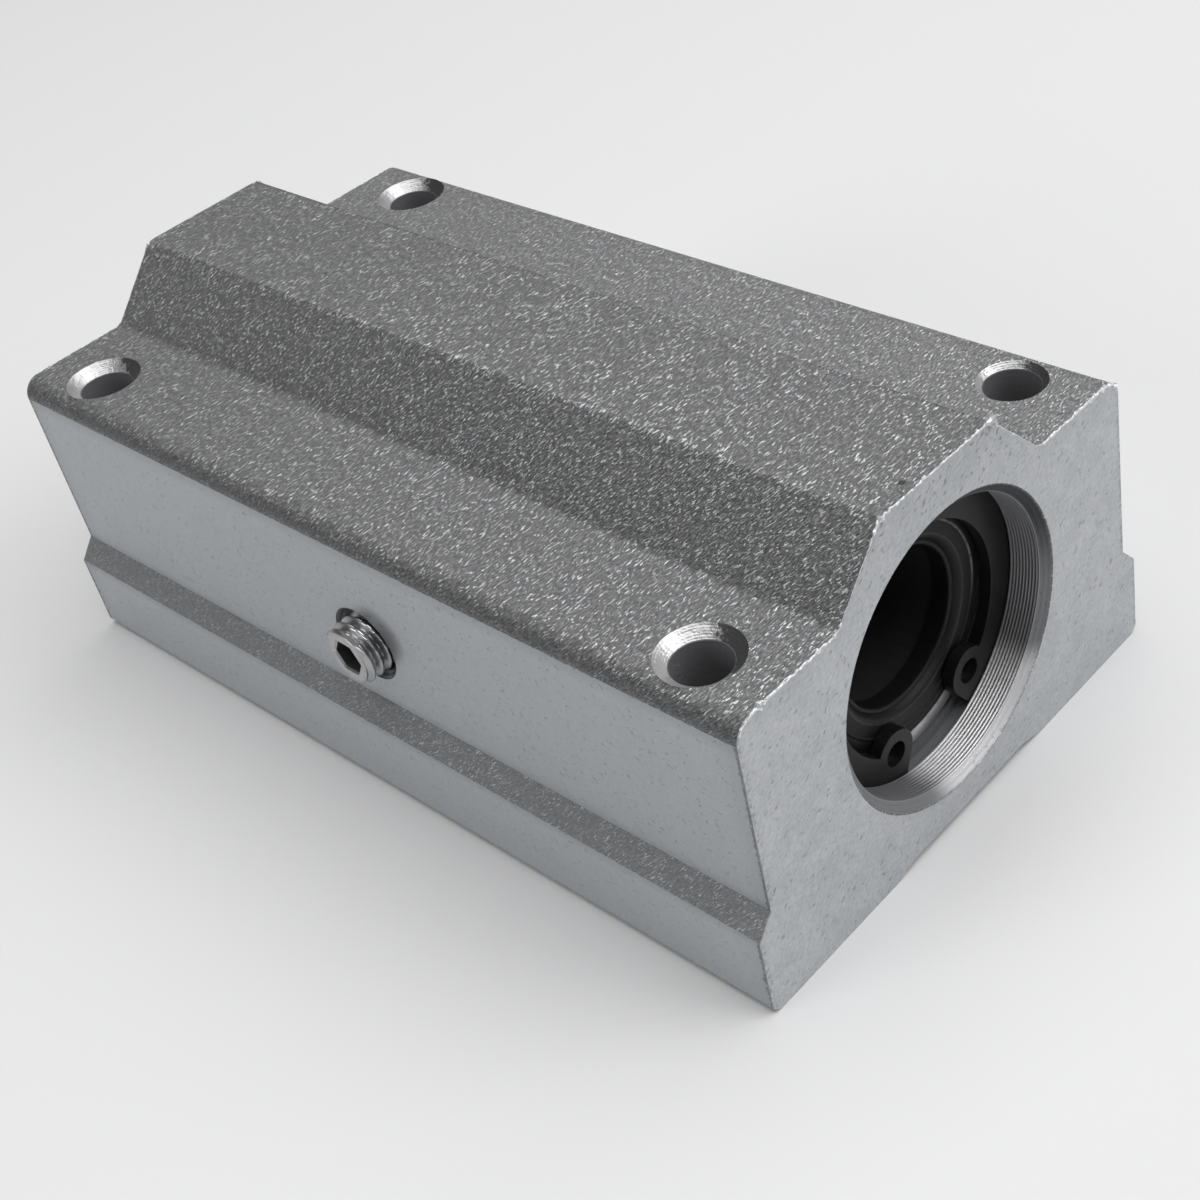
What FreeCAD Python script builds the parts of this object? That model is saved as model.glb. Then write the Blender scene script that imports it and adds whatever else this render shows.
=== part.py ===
# Long linear bearing block for a 12 mm shaft.
# An extruded aluminium housing holds two sealed ball bushings end to end.
# Each bushing is held by an internal retaining ring at its outer end and by a
# central land of the housing at its inner end. A socket set screw in the side
# closes the grease hole that leads to the open inner ends of the bushings.
#
# Millimetres. X runs across the width, Y along the shaft, Z up.
# The origin is the middle of the shaft bore. The front end is at -Y.
import FreeCAD, Part

import math
import os

from FreeCAD import Vector

os.makedirs("parts", exist_ok=True)

# Housing section
BLOCK_LENGTH = 78.0
BASE_WIDTH = 45.0
SIDE_STEP = 1.5
AXIS_HEIGHT = 14.9
OVERALL_HEIGHT = 30.3
SHOULDER_HEIGHT = 24.9
STEP_LOW = 7.2
STEP_HIGH = 8.9
HUMP_TOP_WIDTH = 11.6
HUMP_FOOT_WIDTH = 22.2
SHOULDER_CORNER_RADIUS = 1.6
HUMP_FOOT_RADIUS = 0.9
HUMP_TOP_RADIUS = 0.4
BASE_BEVEL = 0.6
RELIEF_DEPTH = 0.6
RELIEF_MOUTH_WIDTH = 18.2
RELIEF_FLOOR_WIDTH = 13.4

# Mounting holes, placed from the upper sides and from the end faces
HOLE_SIDE_DISTANCE = 4.0
HOLE_END_DISTANCE = 6.2
HOLE_RADIUS = 2.15
COUNTERSINK_RADIUS = 3.05
NARROW_COUNTERSINK_RADIUS = 2.65
SHALLOW_COUNTERSINK_DEPTH = 0.75

# Shaft and ball bushings
SHAFT_RADIUS = 6.0
SHAFT_CLEARANCE = 0.02
BUSHING_RADIUS = 11.0
BUSHING_SEAT_CLEARANCE = 0.03
SLEEVE_WALL = 1.82
SLEEVE_BEVEL = 0.7

# Balls and their circuits
BALL_RADIUS = 1.19
BALL_SIDES = 6
BALL_COUNT = 18
BALL_PITCH = 2.55
CIRCUIT_COUNT = 4
FIRST_CIRCUIT_ANGLE = 45.0
CIRCUIT_SPREAD = 32.0
RACE_CLEARANCE = 0.02
RACE_WIDTH = 3.2
RACE_OVERRUN = 0.65
RETURN_CLEARANCE = 0.06

# Cage, which like the end rings has narrow flats in place of curves
FLAT_COUNT = 36
CAGE_BORE_GAP = 0.18
CAGE_RACE_GAP = 0.12
TRACK_GAP = 0.14
TRACK_FLOOR_GAP = 0.09
SLOT_WIDTH = 2.2

# Seals at the outer ends and plain rings at the inner ends
END_RIM_GAP = 0.05
END_CAGE_GAP = 0.05
SEAL_RECESS = 0.1
SEAL_THICKNESS = 2.0
SEAL_FACE_INNER_RADIUS = 6.55
LIP_RECESS = 0.95
END_RING_BORE_RADIUS = 6.6
END_RING_THICKNESS = 1.5

# Retaining rings
RING_DEPTH = 3.2
RING_THICKNESS = 1.0
RING_GROOVE_DEPTH = 0.5
RING_GROOVE_PLAY = 0.1
RING_RADIAL_GAP = 0.05
RING_BACK_WIDTH = 3.3
RING_LUG_WIDTH = 2.4
RING_GAP_ANGLE = -84.3
LUG_SPREAD = 59.6
LUG_RADIUS = 1.95
LUG_HOLE_RADIUS = 1.0
LUG_REACH = 7.15

# Bore ends
MOUTH_BEVEL = 0.7
LEAD_IN_PLAY = 0.2
LAND_STEP = 1.4
LAND_LENGTH = 5.34

# Grease hole and set screw
SCREW_OFFSET_Y = -0.9
SCREW_OFFSET_Z = -0.55
SCREW_RADIUS = 2.5
SCREW_LENGTH = 8.0
SCREW_PROUD = 1.8
SCREW_END_BEVEL = 0.3
SCREW_HOLE_CLEARANCE = 0.05
SCREW_SINK_ROOM = 0.2
SCREW_MOUTH_RADIUS = 3.2
SCREW_POINT_RADIUS = 1.8
GREASE_HOLE_RADIUS = 1.2
SOCKET_ACROSS_FLATS = 2.5
SOCKET_DEPTH = 2.4

# Values that follow from the ones above
ORIGIN = Vector(0, 0, 0)
ALONG_X = Vector(1, 0, 0)
ALONG_Y = Vector(0, 1, 0)
ALONG_Z = Vector(0, 0, 1)
SAME_POINT = 1e-4
BASE_Z = -AXIS_HEIGHT
TOP_Z = OVERALL_HEIGHT - AXIS_HEIGHT
SHOULDER_Z = SHOULDER_HEIGHT - AXIS_HEIGHT
SHAFT_HOLE_RADIUS = SHAFT_RADIUS + SHAFT_CLEARANCE
SLEEVE_RADIUS = BUSHING_RADIUS - BUSHING_SEAT_CLEARANCE
SLEEVE_BORE_RADIUS = SLEEVE_RADIUS - SLEEVE_WALL
LAND_RADIUS = BUSHING_RADIUS - LAND_STEP
LEAD_IN_RADIUS = BUSHING_RADIUS + LEAD_IN_PLAY
RING_GROOVE_RADIUS = LEAD_IN_RADIUS + RING_GROOVE_DEPTH
RING_RADIUS = RING_GROOVE_RADIUS - RING_RADIAL_GAP
GROOVE_WIDTH = RING_THICKNESS + RING_GROOVE_PLAY
BUSHING_DEPTH = RING_DEPTH + GROOVE_WIDTH
HALF_LENGTH = BLOCK_LENGTH / 2
LAND_HALF = LAND_LENGTH / 2
BUSHING_LENGTH = HALF_LENGTH - BUSHING_DEPTH - BUSHING_SEAT_CLEARANCE - LAND_HALF
BUSHING_HALF = BUSHING_LENGTH / 2
BUSHING_CENTRE = HALF_LENGTH - BUSHING_DEPTH - BUSHING_HALF
UPPER_WIDTH = BASE_WIDTH - 2 * SIDE_STEP
SIDE_X = -UPPER_WIDTH / 2
SCREW_HOLE_DEPTH = SCREW_LENGTH + SCREW_SINK_ROOM
HOLE_X = UPPER_WIDTH / 2 - HOLE_SIDE_DISTANCE
HOLE_Y = HALF_LENGTH - HOLE_END_DISTANCE
LOAD_RADIUS = SHAFT_HOLE_RADIUS + BALL_RADIUS
RACE_RADIUS = LOAD_RADIUS + BALL_RADIUS + RACE_CLEARANCE
RETURN_RADIUS = SLEEVE_BORE_RADIUS - RETURN_CLEARANCE - BALL_RADIUS
CAGE_BORE_RADIUS = SHAFT_HOLE_RADIUS + CAGE_BORE_GAP
CAGE_RADIUS = RACE_RADIUS - CAGE_RACE_GAP
END_PIECE_START = BUSHING_HALF - SEAL_RECESS - SEAL_THICKNESS
CAGE_HALF = END_PIECE_START - END_CAGE_GAP
END_PIECE_RADIUS = SLEEVE_BORE_RADIUS - END_RIM_GAP
TRACK_FLOOR_RADIUS = RETURN_RADIUS - BALL_RADIUS - TRACK_FLOOR_GAP
TRACK_HALF_WIDTH = BALL_RADIUS + TRACK_GAP
TURN_RADIUS = math.radians(CIRCUIT_SPREAD / 2) * (LOAD_RADIUS + RETURN_RADIUS) / 2
STRAIGHT_LENGTH = (BALL_COUNT * BALL_PITCH - 2 * math.pi * TURN_RADIUS) / 2
LOADED_BALLS = 2 * int(STRAIGHT_LENGTH / 2 / BALL_PITCH) + 1
LOADED_HALF = (LOADED_BALLS - 1) / 2 * BALL_PITCH
RACE_HALF = LOADED_HALF + RACE_OVERRUN


def face_within(corners):
    """Return the flat face inside a closed row of corners."""
    return Part.Face(Part.makePolygon(corners + corners[:1]))


def regular_corners(radius, count):
    """Return the corners of a regular polygon about zero as pairs."""
    step = 2 * math.pi / count
    return [(radius * math.cos(step * index), radius * math.sin(step * index))
            for index in range(count)]


def rod(radius, start, length, axis):
    """Return a cylinder from a start point along an axis."""
    return Part.makeCylinder(radius, length, start, axis)


def bore_rod(radius, first_y, last_y):
    """Return a cylinder on the shaft axis between two Y positions."""
    return rod(radius, Vector(0, first_y, 0), last_y - first_y, ALONG_Y)


def bore_cone(first_radius, last_radius, first_y, last_y):
    """Return a cone on the shaft axis between two Y positions."""
    start = Vector(0, first_y, 0)
    return Part.makeCone(first_radius, last_radius, last_y - first_y, start, ALONG_Y)


def flat_sided_rod(corner_radius, first_y, last_y):
    """Return a regular prism on the shaft axis between two Y positions."""
    corners = [Vector(x, first_y, z) for x, z in regular_corners(corner_radius, FLAT_COUNT)]
    return face_within(corners).extrude(ALONG_Y * (last_y - first_y))


def flat_sided_tube(radius, bore_radius, first_y, last_y):
    """Return a tube of flats that nowhere leaves the space between two radii."""
    bore_corner = bore_radius / math.cos(math.pi / FLAT_COUNT)
    tube = flat_sided_rod(radius, first_y, last_y)
    return tube.cut(flat_sided_rod(bore_corner, first_y, last_y))


def turned(points):
    """Revolve a closed outline of (radius, y) pairs about the shaft axis."""
    outline = [Vector(radius, y, 0) for radius, y in points]
    return face_within(outline).revolve(ORIGIN, ALONG_Y, 360)


def long_edges(body, places):
    """Return the edges along Y that pass through the given (x, z) places."""
    found = []
    for edge in body.Edges:
        first, last = edge.Vertexes[0].Point, edge.Vertexes[-1].Point
        if abs(first.y - last.y) < BLOCK_LENGTH / 2:
            continue
        for x, z in places:
            if math.hypot(first.x - x, first.z - z) < SAME_POINT:
                found.append(edge)
    return found


def mirrored_front_to_back(body):
    """Return the piece as it sits at the rear end."""
    return body.mirror(ORIGIN, ALONG_Y)


# Housing

def section_outline():
    """Return the right half of the extruded section as (x, z) corners."""
    half_base = BASE_WIDTH / 2
    half_upper = UPPER_WIDTH / 2
    return [
        (RELIEF_FLOOR_WIDTH / 2, BASE_Z + RELIEF_DEPTH),
        (RELIEF_MOUTH_WIDTH / 2, BASE_Z),
        (half_base - BASE_BEVEL, BASE_Z),
        (half_base, BASE_Z + BASE_BEVEL),
        (half_base, BASE_Z + STEP_LOW),
        (half_upper, BASE_Z + STEP_HIGH),
        (half_upper, SHOULDER_Z),
        (HUMP_FOOT_WIDTH / 2, SHOULDER_Z),
        (HUMP_TOP_WIDTH / 2, TOP_Z),
    ]


def extruded_bar():
    """Extrude the section and round the corners that the die rounds."""
    right = section_outline()
    left = [(-x, z) for x, z in reversed(right)]
    corners = [Vector(x, -HALF_LENGTH, z) for x, z in right + left]
    bar = face_within(corners).extrude(ALONG_Y * BLOCK_LENGTH)
    rounds = [
        (UPPER_WIDTH / 2, SHOULDER_Z, SHOULDER_CORNER_RADIUS),
        (HUMP_FOOT_WIDTH / 2, SHOULDER_Z, HUMP_FOOT_RADIUS),
        (HUMP_TOP_WIDTH / 2, TOP_Z, HUMP_TOP_RADIUS),
    ]
    for x, z, radius in rounds:
        bar = bar.makeFillet(radius, long_edges(bar, [(x, z), (-x, z)]))
    return bar


def bushing_seat():
    """Return the material bored out of the front end, down to the central land."""
    groove_start = RING_DEPTH - HALF_LENGTH
    seat = bore_rod(BUSHING_RADIUS, -HALF_LENGTH, -LAND_HALF)
    lead_in = bore_rod(LEAD_IN_RADIUS, -HALF_LENGTH, groove_start)
    mouth = bore_cone(LEAD_IN_RADIUS + MOUTH_BEVEL, LEAD_IN_RADIUS,
                      -HALF_LENGTH, MOUTH_BEVEL - HALF_LENGTH)
    groove = bore_rod(RING_GROOVE_RADIUS, groove_start, groove_start + GROOVE_WIDTH)
    return seat.fuse([lead_in, mouth, groove])


def mounting_hole(x, y):
    """Return the material drilled and countersunk for one mounting hole.

    The countersinks are cut by hand: the one at the front right is narrow,
    and the one at the front left is shallow.
    """
    at_front = y < 0
    mouth_radius = NARROW_COUNTERSINK_RADIUS if at_front and x > 0 else COUNTERSINK_RADIUS
    drill = rod(HOLE_RADIUS, Vector(x, y, BASE_Z), SHOULDER_HEIGHT, ALONG_Z)
    depth = mouth_radius - HOLE_RADIUS
    if at_front and x < 0:
        depth = SHALLOW_COUNTERSINK_DEPTH
    start = Vector(x, y, SHOULDER_Z - depth)
    cone = Part.makeCone(HOLE_RADIUS, mouth_radius, depth, start, ALONG_Z)
    return drill.fuse(cone)


def grease_hole():
    """Return the tapped hole in the left side and its passage to the bore."""
    radius = SCREW_RADIUS + SCREW_HOLE_CLEARANCE
    mouth = Vector(SIDE_X, SCREW_OFFSET_Y, SCREW_OFFSET_Z)
    lead = SCREW_MOUTH_RADIUS - radius
    tapped = rod(radius, mouth, SCREW_HOLE_DEPTH, ALONG_X)
    bevel = Part.makeCone(SCREW_MOUTH_RADIUS, radius, lead, mouth, ALONG_X)
    passage = rod(GREASE_HOLE_RADIUS, mouth, -SIDE_X, ALONG_X)
    return tapped.fuse([bevel, passage])


def housing():
    """Return the bored, drilled and tapped housing."""
    block = extruded_bar()
    cutters = [bushing_seat(), mirrored_front_to_back(bushing_seat())]
    cutters.append(bore_rod(LAND_RADIUS, -HALF_LENGTH, HALF_LENGTH))
    for x in (-HOLE_X, HOLE_X):
        for y in (-HOLE_Y, HOLE_Y):
            cutters.append(mounting_hole(x, y))
    cutters.append(grease_hole())
    return block.cut(cutters).removeSplitter()


# Set screw

def set_screw():
    """Return the socket set screw, standing out of the left side."""
    head_x = SIDE_X - SCREW_PROUD
    point_bevel = SCREW_RADIUS - SCREW_POINT_RADIUS
    outline = [
        (0, 0), (0, SCREW_RADIUS - SCREW_END_BEVEL), (SCREW_END_BEVEL, SCREW_RADIUS),
        (SCREW_LENGTH - point_bevel, SCREW_RADIUS), (SCREW_LENGTH, SCREW_POINT_RADIUS),
        (SCREW_LENGTH, 0),
    ]
    head = Vector(head_x, SCREW_OFFSET_Y, SCREW_OFFSET_Z)
    corners = [head + Vector(x, 0, radius) for x, radius in outline]
    screw = face_within(corners).revolve(head, ALONG_X, 360)
    return screw.cut(hex_socket(head))


def hex_socket(mouth):
    """Return the material of a hexagon socket that opens towards -X."""
    hexagon = regular_corners(SOCKET_ACROSS_FLATS / math.sqrt(3), 6)
    corners = [mouth + Vector(0, y, z) for y, z in hexagon]
    return face_within(corners).extrude(ALONG_X * SOCKET_DEPTH)


# Retaining rings

def front_retaining_ring():
    """Return the internal retaining ring with its two eyelet lugs."""
    front = RING_DEPTH + RING_GROOVE_PLAY / 2 - HALF_LENGTH
    back = front + RING_THICKNESS
    gap = math.radians(RING_GAP_ANGLE)
    inner_radius = RING_RADIUS - (RING_BACK_WIDTH + RING_LUG_WIDTH) / 2
    shift = (RING_BACK_WIDTH - RING_LUG_WIDTH) / 2
    inner_start = Vector(shift * math.cos(gap), front, shift * math.sin(gap))
    disc = bore_rod(RING_RADIUS, front, back)
    ring = disc.cut(rod(inner_radius, inner_start, RING_THICKNESS, ALONG_Y))
    lug_angles = [gap - math.radians(LUG_SPREAD / 2), gap + math.radians(LUG_SPREAD / 2)]
    ring = ring.cut(ring_opening(lug_angles, gap, front))
    eyelets = [ring_lug(angle, front) for angle in lug_angles]
    ring = ring.fuse([lug.common(disc) for lug in eyelets])
    holes = [lug_hole(angle, front) for angle in lug_angles]
    return ring.cut(holes).removeSplitter()


def ring_opening(lug_angles, gap, front):
    """Return the wedge that opens the ring between its lugs."""
    far = 2 * RING_RADIUS
    points = [Vector(0, front, 0)]
    for angle in (lug_angles[0], gap, lug_angles[1]):
        points.append(Vector(far * math.cos(angle), front, far * math.sin(angle)))
    return face_within(points).extrude(ALONG_Y * RING_THICKNESS)


def ring_lug(angle, front):
    """Return one lug: a rounded tongue that points at the shaft."""
    centre = LUG_REACH + LUG_RADIUS
    eye = Vector(centre * math.cos(angle), front, centre * math.sin(angle))
    tip = rod(LUG_RADIUS, eye, RING_THICKNESS, ALONG_Y)
    length = RING_RADIUS - centre
    root = Part.makeBox(length, RING_THICKNESS, 2 * LUG_RADIUS)
    root.translate(Vector(centre, front, -LUG_RADIUS))
    root.rotate(ORIGIN, ALONG_Y, -math.degrees(angle))
    return tip.fuse(root)


def lug_hole(angle, front):
    """Return the material of one eyelet hole."""
    centre = LUG_REACH + LUG_RADIUS
    start = Vector(centre * math.cos(angle), front, centre * math.sin(angle))
    return rod(LUG_HOLE_RADIUS, start, RING_THICKNESS, ALONG_Y)


# Ball bushings, modelled about the origin and then moved to their seats

def sleeve():
    """Return the steel sleeve with its raceways, bevelled at the outer end, -Y."""
    body = turned([
        (SLEEVE_RADIUS, BUSHING_HALF), (SLEEVE_BORE_RADIUS, BUSHING_HALF),
        (SLEEVE_BORE_RADIUS, -BUSHING_HALF), (SLEEVE_RADIUS - SLEEVE_BEVEL, -BUSHING_HALF),
        (SLEEVE_RADIUS, SLEEVE_BEVEL - BUSHING_HALF),
    ])
    return body.fuse([raceway(angle) for angle in circuit_angles()])


def circuit_angles():
    """Return the angle of each circuit's loaded line."""
    step = 360 / CIRCUIT_COUNT
    return [FIRST_CIRCUIT_ANGLE + step * index for index in range(CIRCUIT_COUNT)]


def raceway(angle):
    """Return one hardened land that the loaded balls run on."""
    depth = (SLEEVE_BORE_RADIUS + SLEEVE_RADIUS) / 2 - RACE_RADIUS
    return bar_at(angle, RACE_RADIUS, depth, RACE_HALF, RACE_WIDTH)


def bar_at(angle, radius, depth, half_length, width):
    """Return a straight bar along Y that starts at a radius and points outwards."""
    bar = Part.makeBox(depth, 2 * half_length, width)
    bar.translate(Vector(radius, -half_length, -width / 2))
    bar.rotate(ORIGIN, ALONG_Y, -angle)
    return bar


def prism_outwards(outline):
    """Extrude an outline of (y, z) corners along X, from the axis outwards."""
    corners = [Vector(0, y, z) for y, z in outline]
    return face_within(corners).extrude(ALONG_X * BUSHING_RADIUS)


def ball_track(angle):
    """Return the closed track of one circuit, with half an octagon at each turn."""
    half = STRAIGHT_LENGTH / 2
    wide = TURN_RADIUS + TRACK_HALF_WIDTH
    corner = wide * math.tan(math.pi / 8)
    rear_end = [(half + corner, -wide), (half + wide, -corner),
                (half + wide, corner), (half + corner, wide)]
    track = prism_outwards(rear_end + [(-y, -z) for y, z in rear_end])
    narrow = TURN_RADIUS - TRACK_HALF_WIDTH
    island_end = [(half, -narrow), (half + narrow, 0), (half, narrow)]
    track = track.cut(prism_outwards(island_end + [(-y, -z) for y, z in island_end]))
    track.rotate(ORIGIN, ALONG_Y, -(angle + CIRCUIT_SPREAD / 2))
    return track.cut(flat_sided_rod(TRACK_FLOOR_RADIUS, -BUSHING_HALF, BUSHING_HALF))


def load_slot(angle):
    """Return the slot through which the loaded balls reach the shaft."""
    half = LOADED_HALF + SLOT_WIDTH / 2
    return bar_at(angle, 0, BUSHING_RADIUS, half, SLOT_WIDTH)


def cage():
    """Return the moulded cage with its tracks and its slots for the loaded balls."""
    body = flat_sided_tube(CAGE_RADIUS, CAGE_BORE_RADIUS, -CAGE_HALF, CAGE_HALF)
    cutters = []
    for angle in circuit_angles():
        cutters.extend([ball_track(angle), load_slot(angle)])
    return body.cut(cutters).removeSplitter()


def faceted_ball():
    """Return a plain faceted ball whose two poles lie along X."""
    rim = [Vector(0, y, z) for y, z in regular_corners(BALL_RADIUS, BALL_SIDES)]
    faces = []
    for pole in (Vector(BALL_RADIUS, 0, 0), Vector(-BALL_RADIUS, 0, 0)):
        for index in range(BALL_SIDES):
            faces.append(face_within([pole, rim[index - 1], rim[index]]))
    return Part.Solid(Part.Shell(faces))


def ball_place(travel):
    """Return a ball's radius, angle and y after it has travelled along the loop."""
    half = STRAIGHT_LENGTH / 2
    turn = math.pi * TURN_RADIUS
    mean_radius = (LOAD_RADIUS + RETURN_RADIUS) / 2
    travel = (travel + half) % (2 * STRAIGHT_LENGTH + 2 * turn)
    if travel <= STRAIGHT_LENGTH:
        return LOAD_RADIUS, 0.0, travel - half
    travel -= STRAIGHT_LENGTH
    if travel <= turn:
        swing = travel / TURN_RADIUS
        across = TURN_RADIUS * (1 - math.cos(swing))
        return RETURN_RADIUS, math.degrees(across / mean_radius), half + TURN_RADIUS * math.sin(swing)
    travel -= turn
    if travel <= STRAIGHT_LENGTH:
        return RETURN_RADIUS, CIRCUIT_SPREAD, half - travel
    swing = (travel - STRAIGHT_LENGTH) / TURN_RADIUS
    across = TURN_RADIUS * (1 + math.cos(swing))
    return RETURN_RADIUS, math.degrees(across / mean_radius), -half - TURN_RADIUS * math.sin(swing)


def ball_circuit(angle):
    """Return one closed loop of balls: loaded on one side, returning on the other."""
    template = faceted_ball()
    balls = []
    for index in range(BALL_COUNT):
        radius, offset, y = ball_place(index * BALL_PITCH)
        ball = template.copy()
        ball.translate(Vector(radius, y, 0))
        ball.rotate(ORIGIN, ALONG_Y, -(angle + offset))
        balls.append(ball)
    return Part.makeCompound(balls)


def seal():
    """Return the rubber seal of the outer end, -Y, which sinks towards its lip."""
    face = BUSHING_HALF - SEAL_RECESS
    lip = BUSHING_HALF - LIP_RECESS
    return turned([
        (END_PIECE_RADIUS, -END_PIECE_START), (END_PIECE_RADIUS, -face),
        (SEAL_FACE_INNER_RADIUS, -face), (SHAFT_HOLE_RADIUS, -lip),
        (SHAFT_HOLE_RADIUS, -END_PIECE_START),
    ])


def end_ring():
    """Return the plain ring that keeps the cage in at the inner end, +Y."""
    end = END_PIECE_START + END_RING_THICKNESS
    return flat_sided_tube(END_PIECE_RADIUS, END_RING_BORE_RADIUS, END_PIECE_START, end)


def bushing_pieces():
    """Return the pieces of one bushing, centred on the origin, outer end at -Y."""
    pieces = {
        "sleeve": sleeve(),
        "ball_cage": cage(),
        "seal": seal(),
        "end_ring": end_ring(),
    }
    for number, angle in enumerate(circuit_angles(), start=1):
        pieces["ball_circuit_%d" % number] = ball_circuit(angle)
    return pieces


def all_pieces():
    """Return every piece of the block by name, in its place."""
    front_ring = front_retaining_ring()
    pieces = {
        "housing": housing(),
        "set_screw": set_screw(),
        "front_retaining_ring": front_ring,
        "rear_retaining_ring": mirrored_front_to_back(front_ring),
    }
    for name, piece in bushing_pieces().items():
        front = piece.copy()
        front.translate(ALONG_Y * -BUSHING_CENTRE)
        pieces["front_bushing_" + name] = front
        pieces["rear_bushing_" + name] = mirrored_front_to_back(front)
    return pieces


for piece_name, piece_shape in all_pieces().items():
    piece_shape.exportStep("parts/%s.step" % piece_name)
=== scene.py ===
"""Looks of the long linear bearing block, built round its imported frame.

Lengths in the classes are millimetres unless a comment says otherwise, and they
are turned into metres once, where a mesh is made. X runs across the width, Y
along the shaft with the front end at -Y, and Z up from the middle of the bore.
"""
import logging
import math
from dataclasses import dataclass, field
from enum import Enum
from typing import Any, Dict, List, Sequence, Tuple, Union

import bmesh
import bpy
import numpy as np
from mathutils import Matrix, Vector


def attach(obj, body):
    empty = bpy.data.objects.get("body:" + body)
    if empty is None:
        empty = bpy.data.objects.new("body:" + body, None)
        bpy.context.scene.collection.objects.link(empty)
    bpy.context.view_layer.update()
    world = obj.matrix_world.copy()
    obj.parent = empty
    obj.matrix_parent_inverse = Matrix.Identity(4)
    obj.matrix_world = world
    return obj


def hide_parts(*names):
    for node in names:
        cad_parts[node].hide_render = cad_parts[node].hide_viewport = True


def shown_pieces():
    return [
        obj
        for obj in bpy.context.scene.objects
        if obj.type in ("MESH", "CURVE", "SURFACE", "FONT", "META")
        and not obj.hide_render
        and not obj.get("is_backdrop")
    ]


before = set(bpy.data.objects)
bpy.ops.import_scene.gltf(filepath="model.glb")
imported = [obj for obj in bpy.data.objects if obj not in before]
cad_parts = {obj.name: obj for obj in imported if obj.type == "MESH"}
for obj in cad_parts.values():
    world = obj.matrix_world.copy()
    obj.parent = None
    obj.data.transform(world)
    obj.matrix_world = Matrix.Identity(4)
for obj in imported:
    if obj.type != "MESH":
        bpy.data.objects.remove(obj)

LOG = logging.getLogger("bearing_block")
MM = 0.001
FULL_TURN = 2 * math.pi
IMAGE_SIDE = 1200
SENSOR_WIDTH = 36.0
MERGE_METRES = 1e-7
FLAT_ANGLE = math.radians(0.5)
SHARP_ANGLE = math.radians(30)
ROUNDED_ANGLE = math.radians(40)
Colour = Tuple[float, float, float]
Number = Union["Value", float]
Pair = Tuple[float, float]
Span = Tuple[float, float]


class Body(Enum):
    """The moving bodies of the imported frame."""

    BLOCK = "block"
    SCREW = "screw"


class Place(Enum):
    """A named place on the block, whose name is part of its pieces' names."""

    @property
    def word(self) -> str:
        """Return the place's name as the nodes and pieces spell it."""
        return self.name.lower()


class End(Place):
    """The two ends of the block; the value is the sign of Y there."""

    FRONT = -1
    REAR = 1


class Side(Place):
    """The two sides of the block; the value is the sign of X there."""

    LEFT = -1
    RIGHT = 1


@dataclass(frozen=True)
class BlockSizes:
    """Places on the block that its finish and its pieces share."""

    half_length: float = 39.0
    hole_x: float = 17.0
    hole_y: float = 32.8
    screw_y: float = -0.9
    screw_z: float = -0.55


SIZES = BlockSizes()


# Shader maths


class Value:
    """A shader number: arithmetic on it adds Math nodes to its material."""

    def __init__(self, shader: "Shader", socket: bpy.types.NodeSocket) -> None:
        """Wrap a socket.

        Args:
            shader: The material that the socket belongs to.
            socket: The output that carries the number.
        """
        self.shader = shader
        self.socket = socket

    def apply(self, operation: str, *operands: Number) -> "Value":
        """Return the result of a Math node.

        Args:
            operation: The Math node's operation.
            operands: Its inputs in order.
        """
        inputs = dict(enumerate(operands))
        return self.shader.number("ShaderNodeMath", {"operation": operation}, inputs)

    def __add__(self, other: Number) -> "Value":
        """Return self + other."""
        return self.apply("ADD", self, other)

    def __radd__(self, other: Number) -> "Value":
        """Return other + self."""
        return self.apply("ADD", other, self)

    def __sub__(self, other: Number) -> "Value":
        """Return self - other."""
        return self.apply("SUBTRACT", self, other)

    def __rsub__(self, other: Number) -> "Value":
        """Return other - self."""
        return self.apply("SUBTRACT", other, self)

    def __mul__(self, other: Number) -> "Value":
        """Return self * other."""
        return self.apply("MULTIPLY", self, other)

    def __rmul__(self, other: Number) -> "Value":
        """Return other * self."""
        return self.apply("MULTIPLY", other, self)

    def __pow__(self, other: Number) -> "Value":
        """Return self to the power other."""
        return self.apply("POWER", self, other)

    def __abs__(self) -> "Value":
        """Return the size of the number without its sign."""
        return self.apply("ABSOLUTE", self)

    def at_most(self, other: Number) -> "Value":
        """Return the smaller of self and other."""
        return self.apply("MINIMUM", self, other)

    def rise(self, low: float, high: float) -> "Value":
        """Return 0 below low, 1 above high, and a smooth step between."""
        return self.shader.number(
            "ShaderNodeMapRange", {"interpolation_type": "SMOOTHSTEP", "clamp": True},
            {"Value": self, "From Min": low, "From Max": high})

    def fall(self, low: float, high: float) -> "Value":
        """Return 1 below low, 0 above high, and a smooth step between."""
        return 1 - self.rise(low, high)


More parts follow.
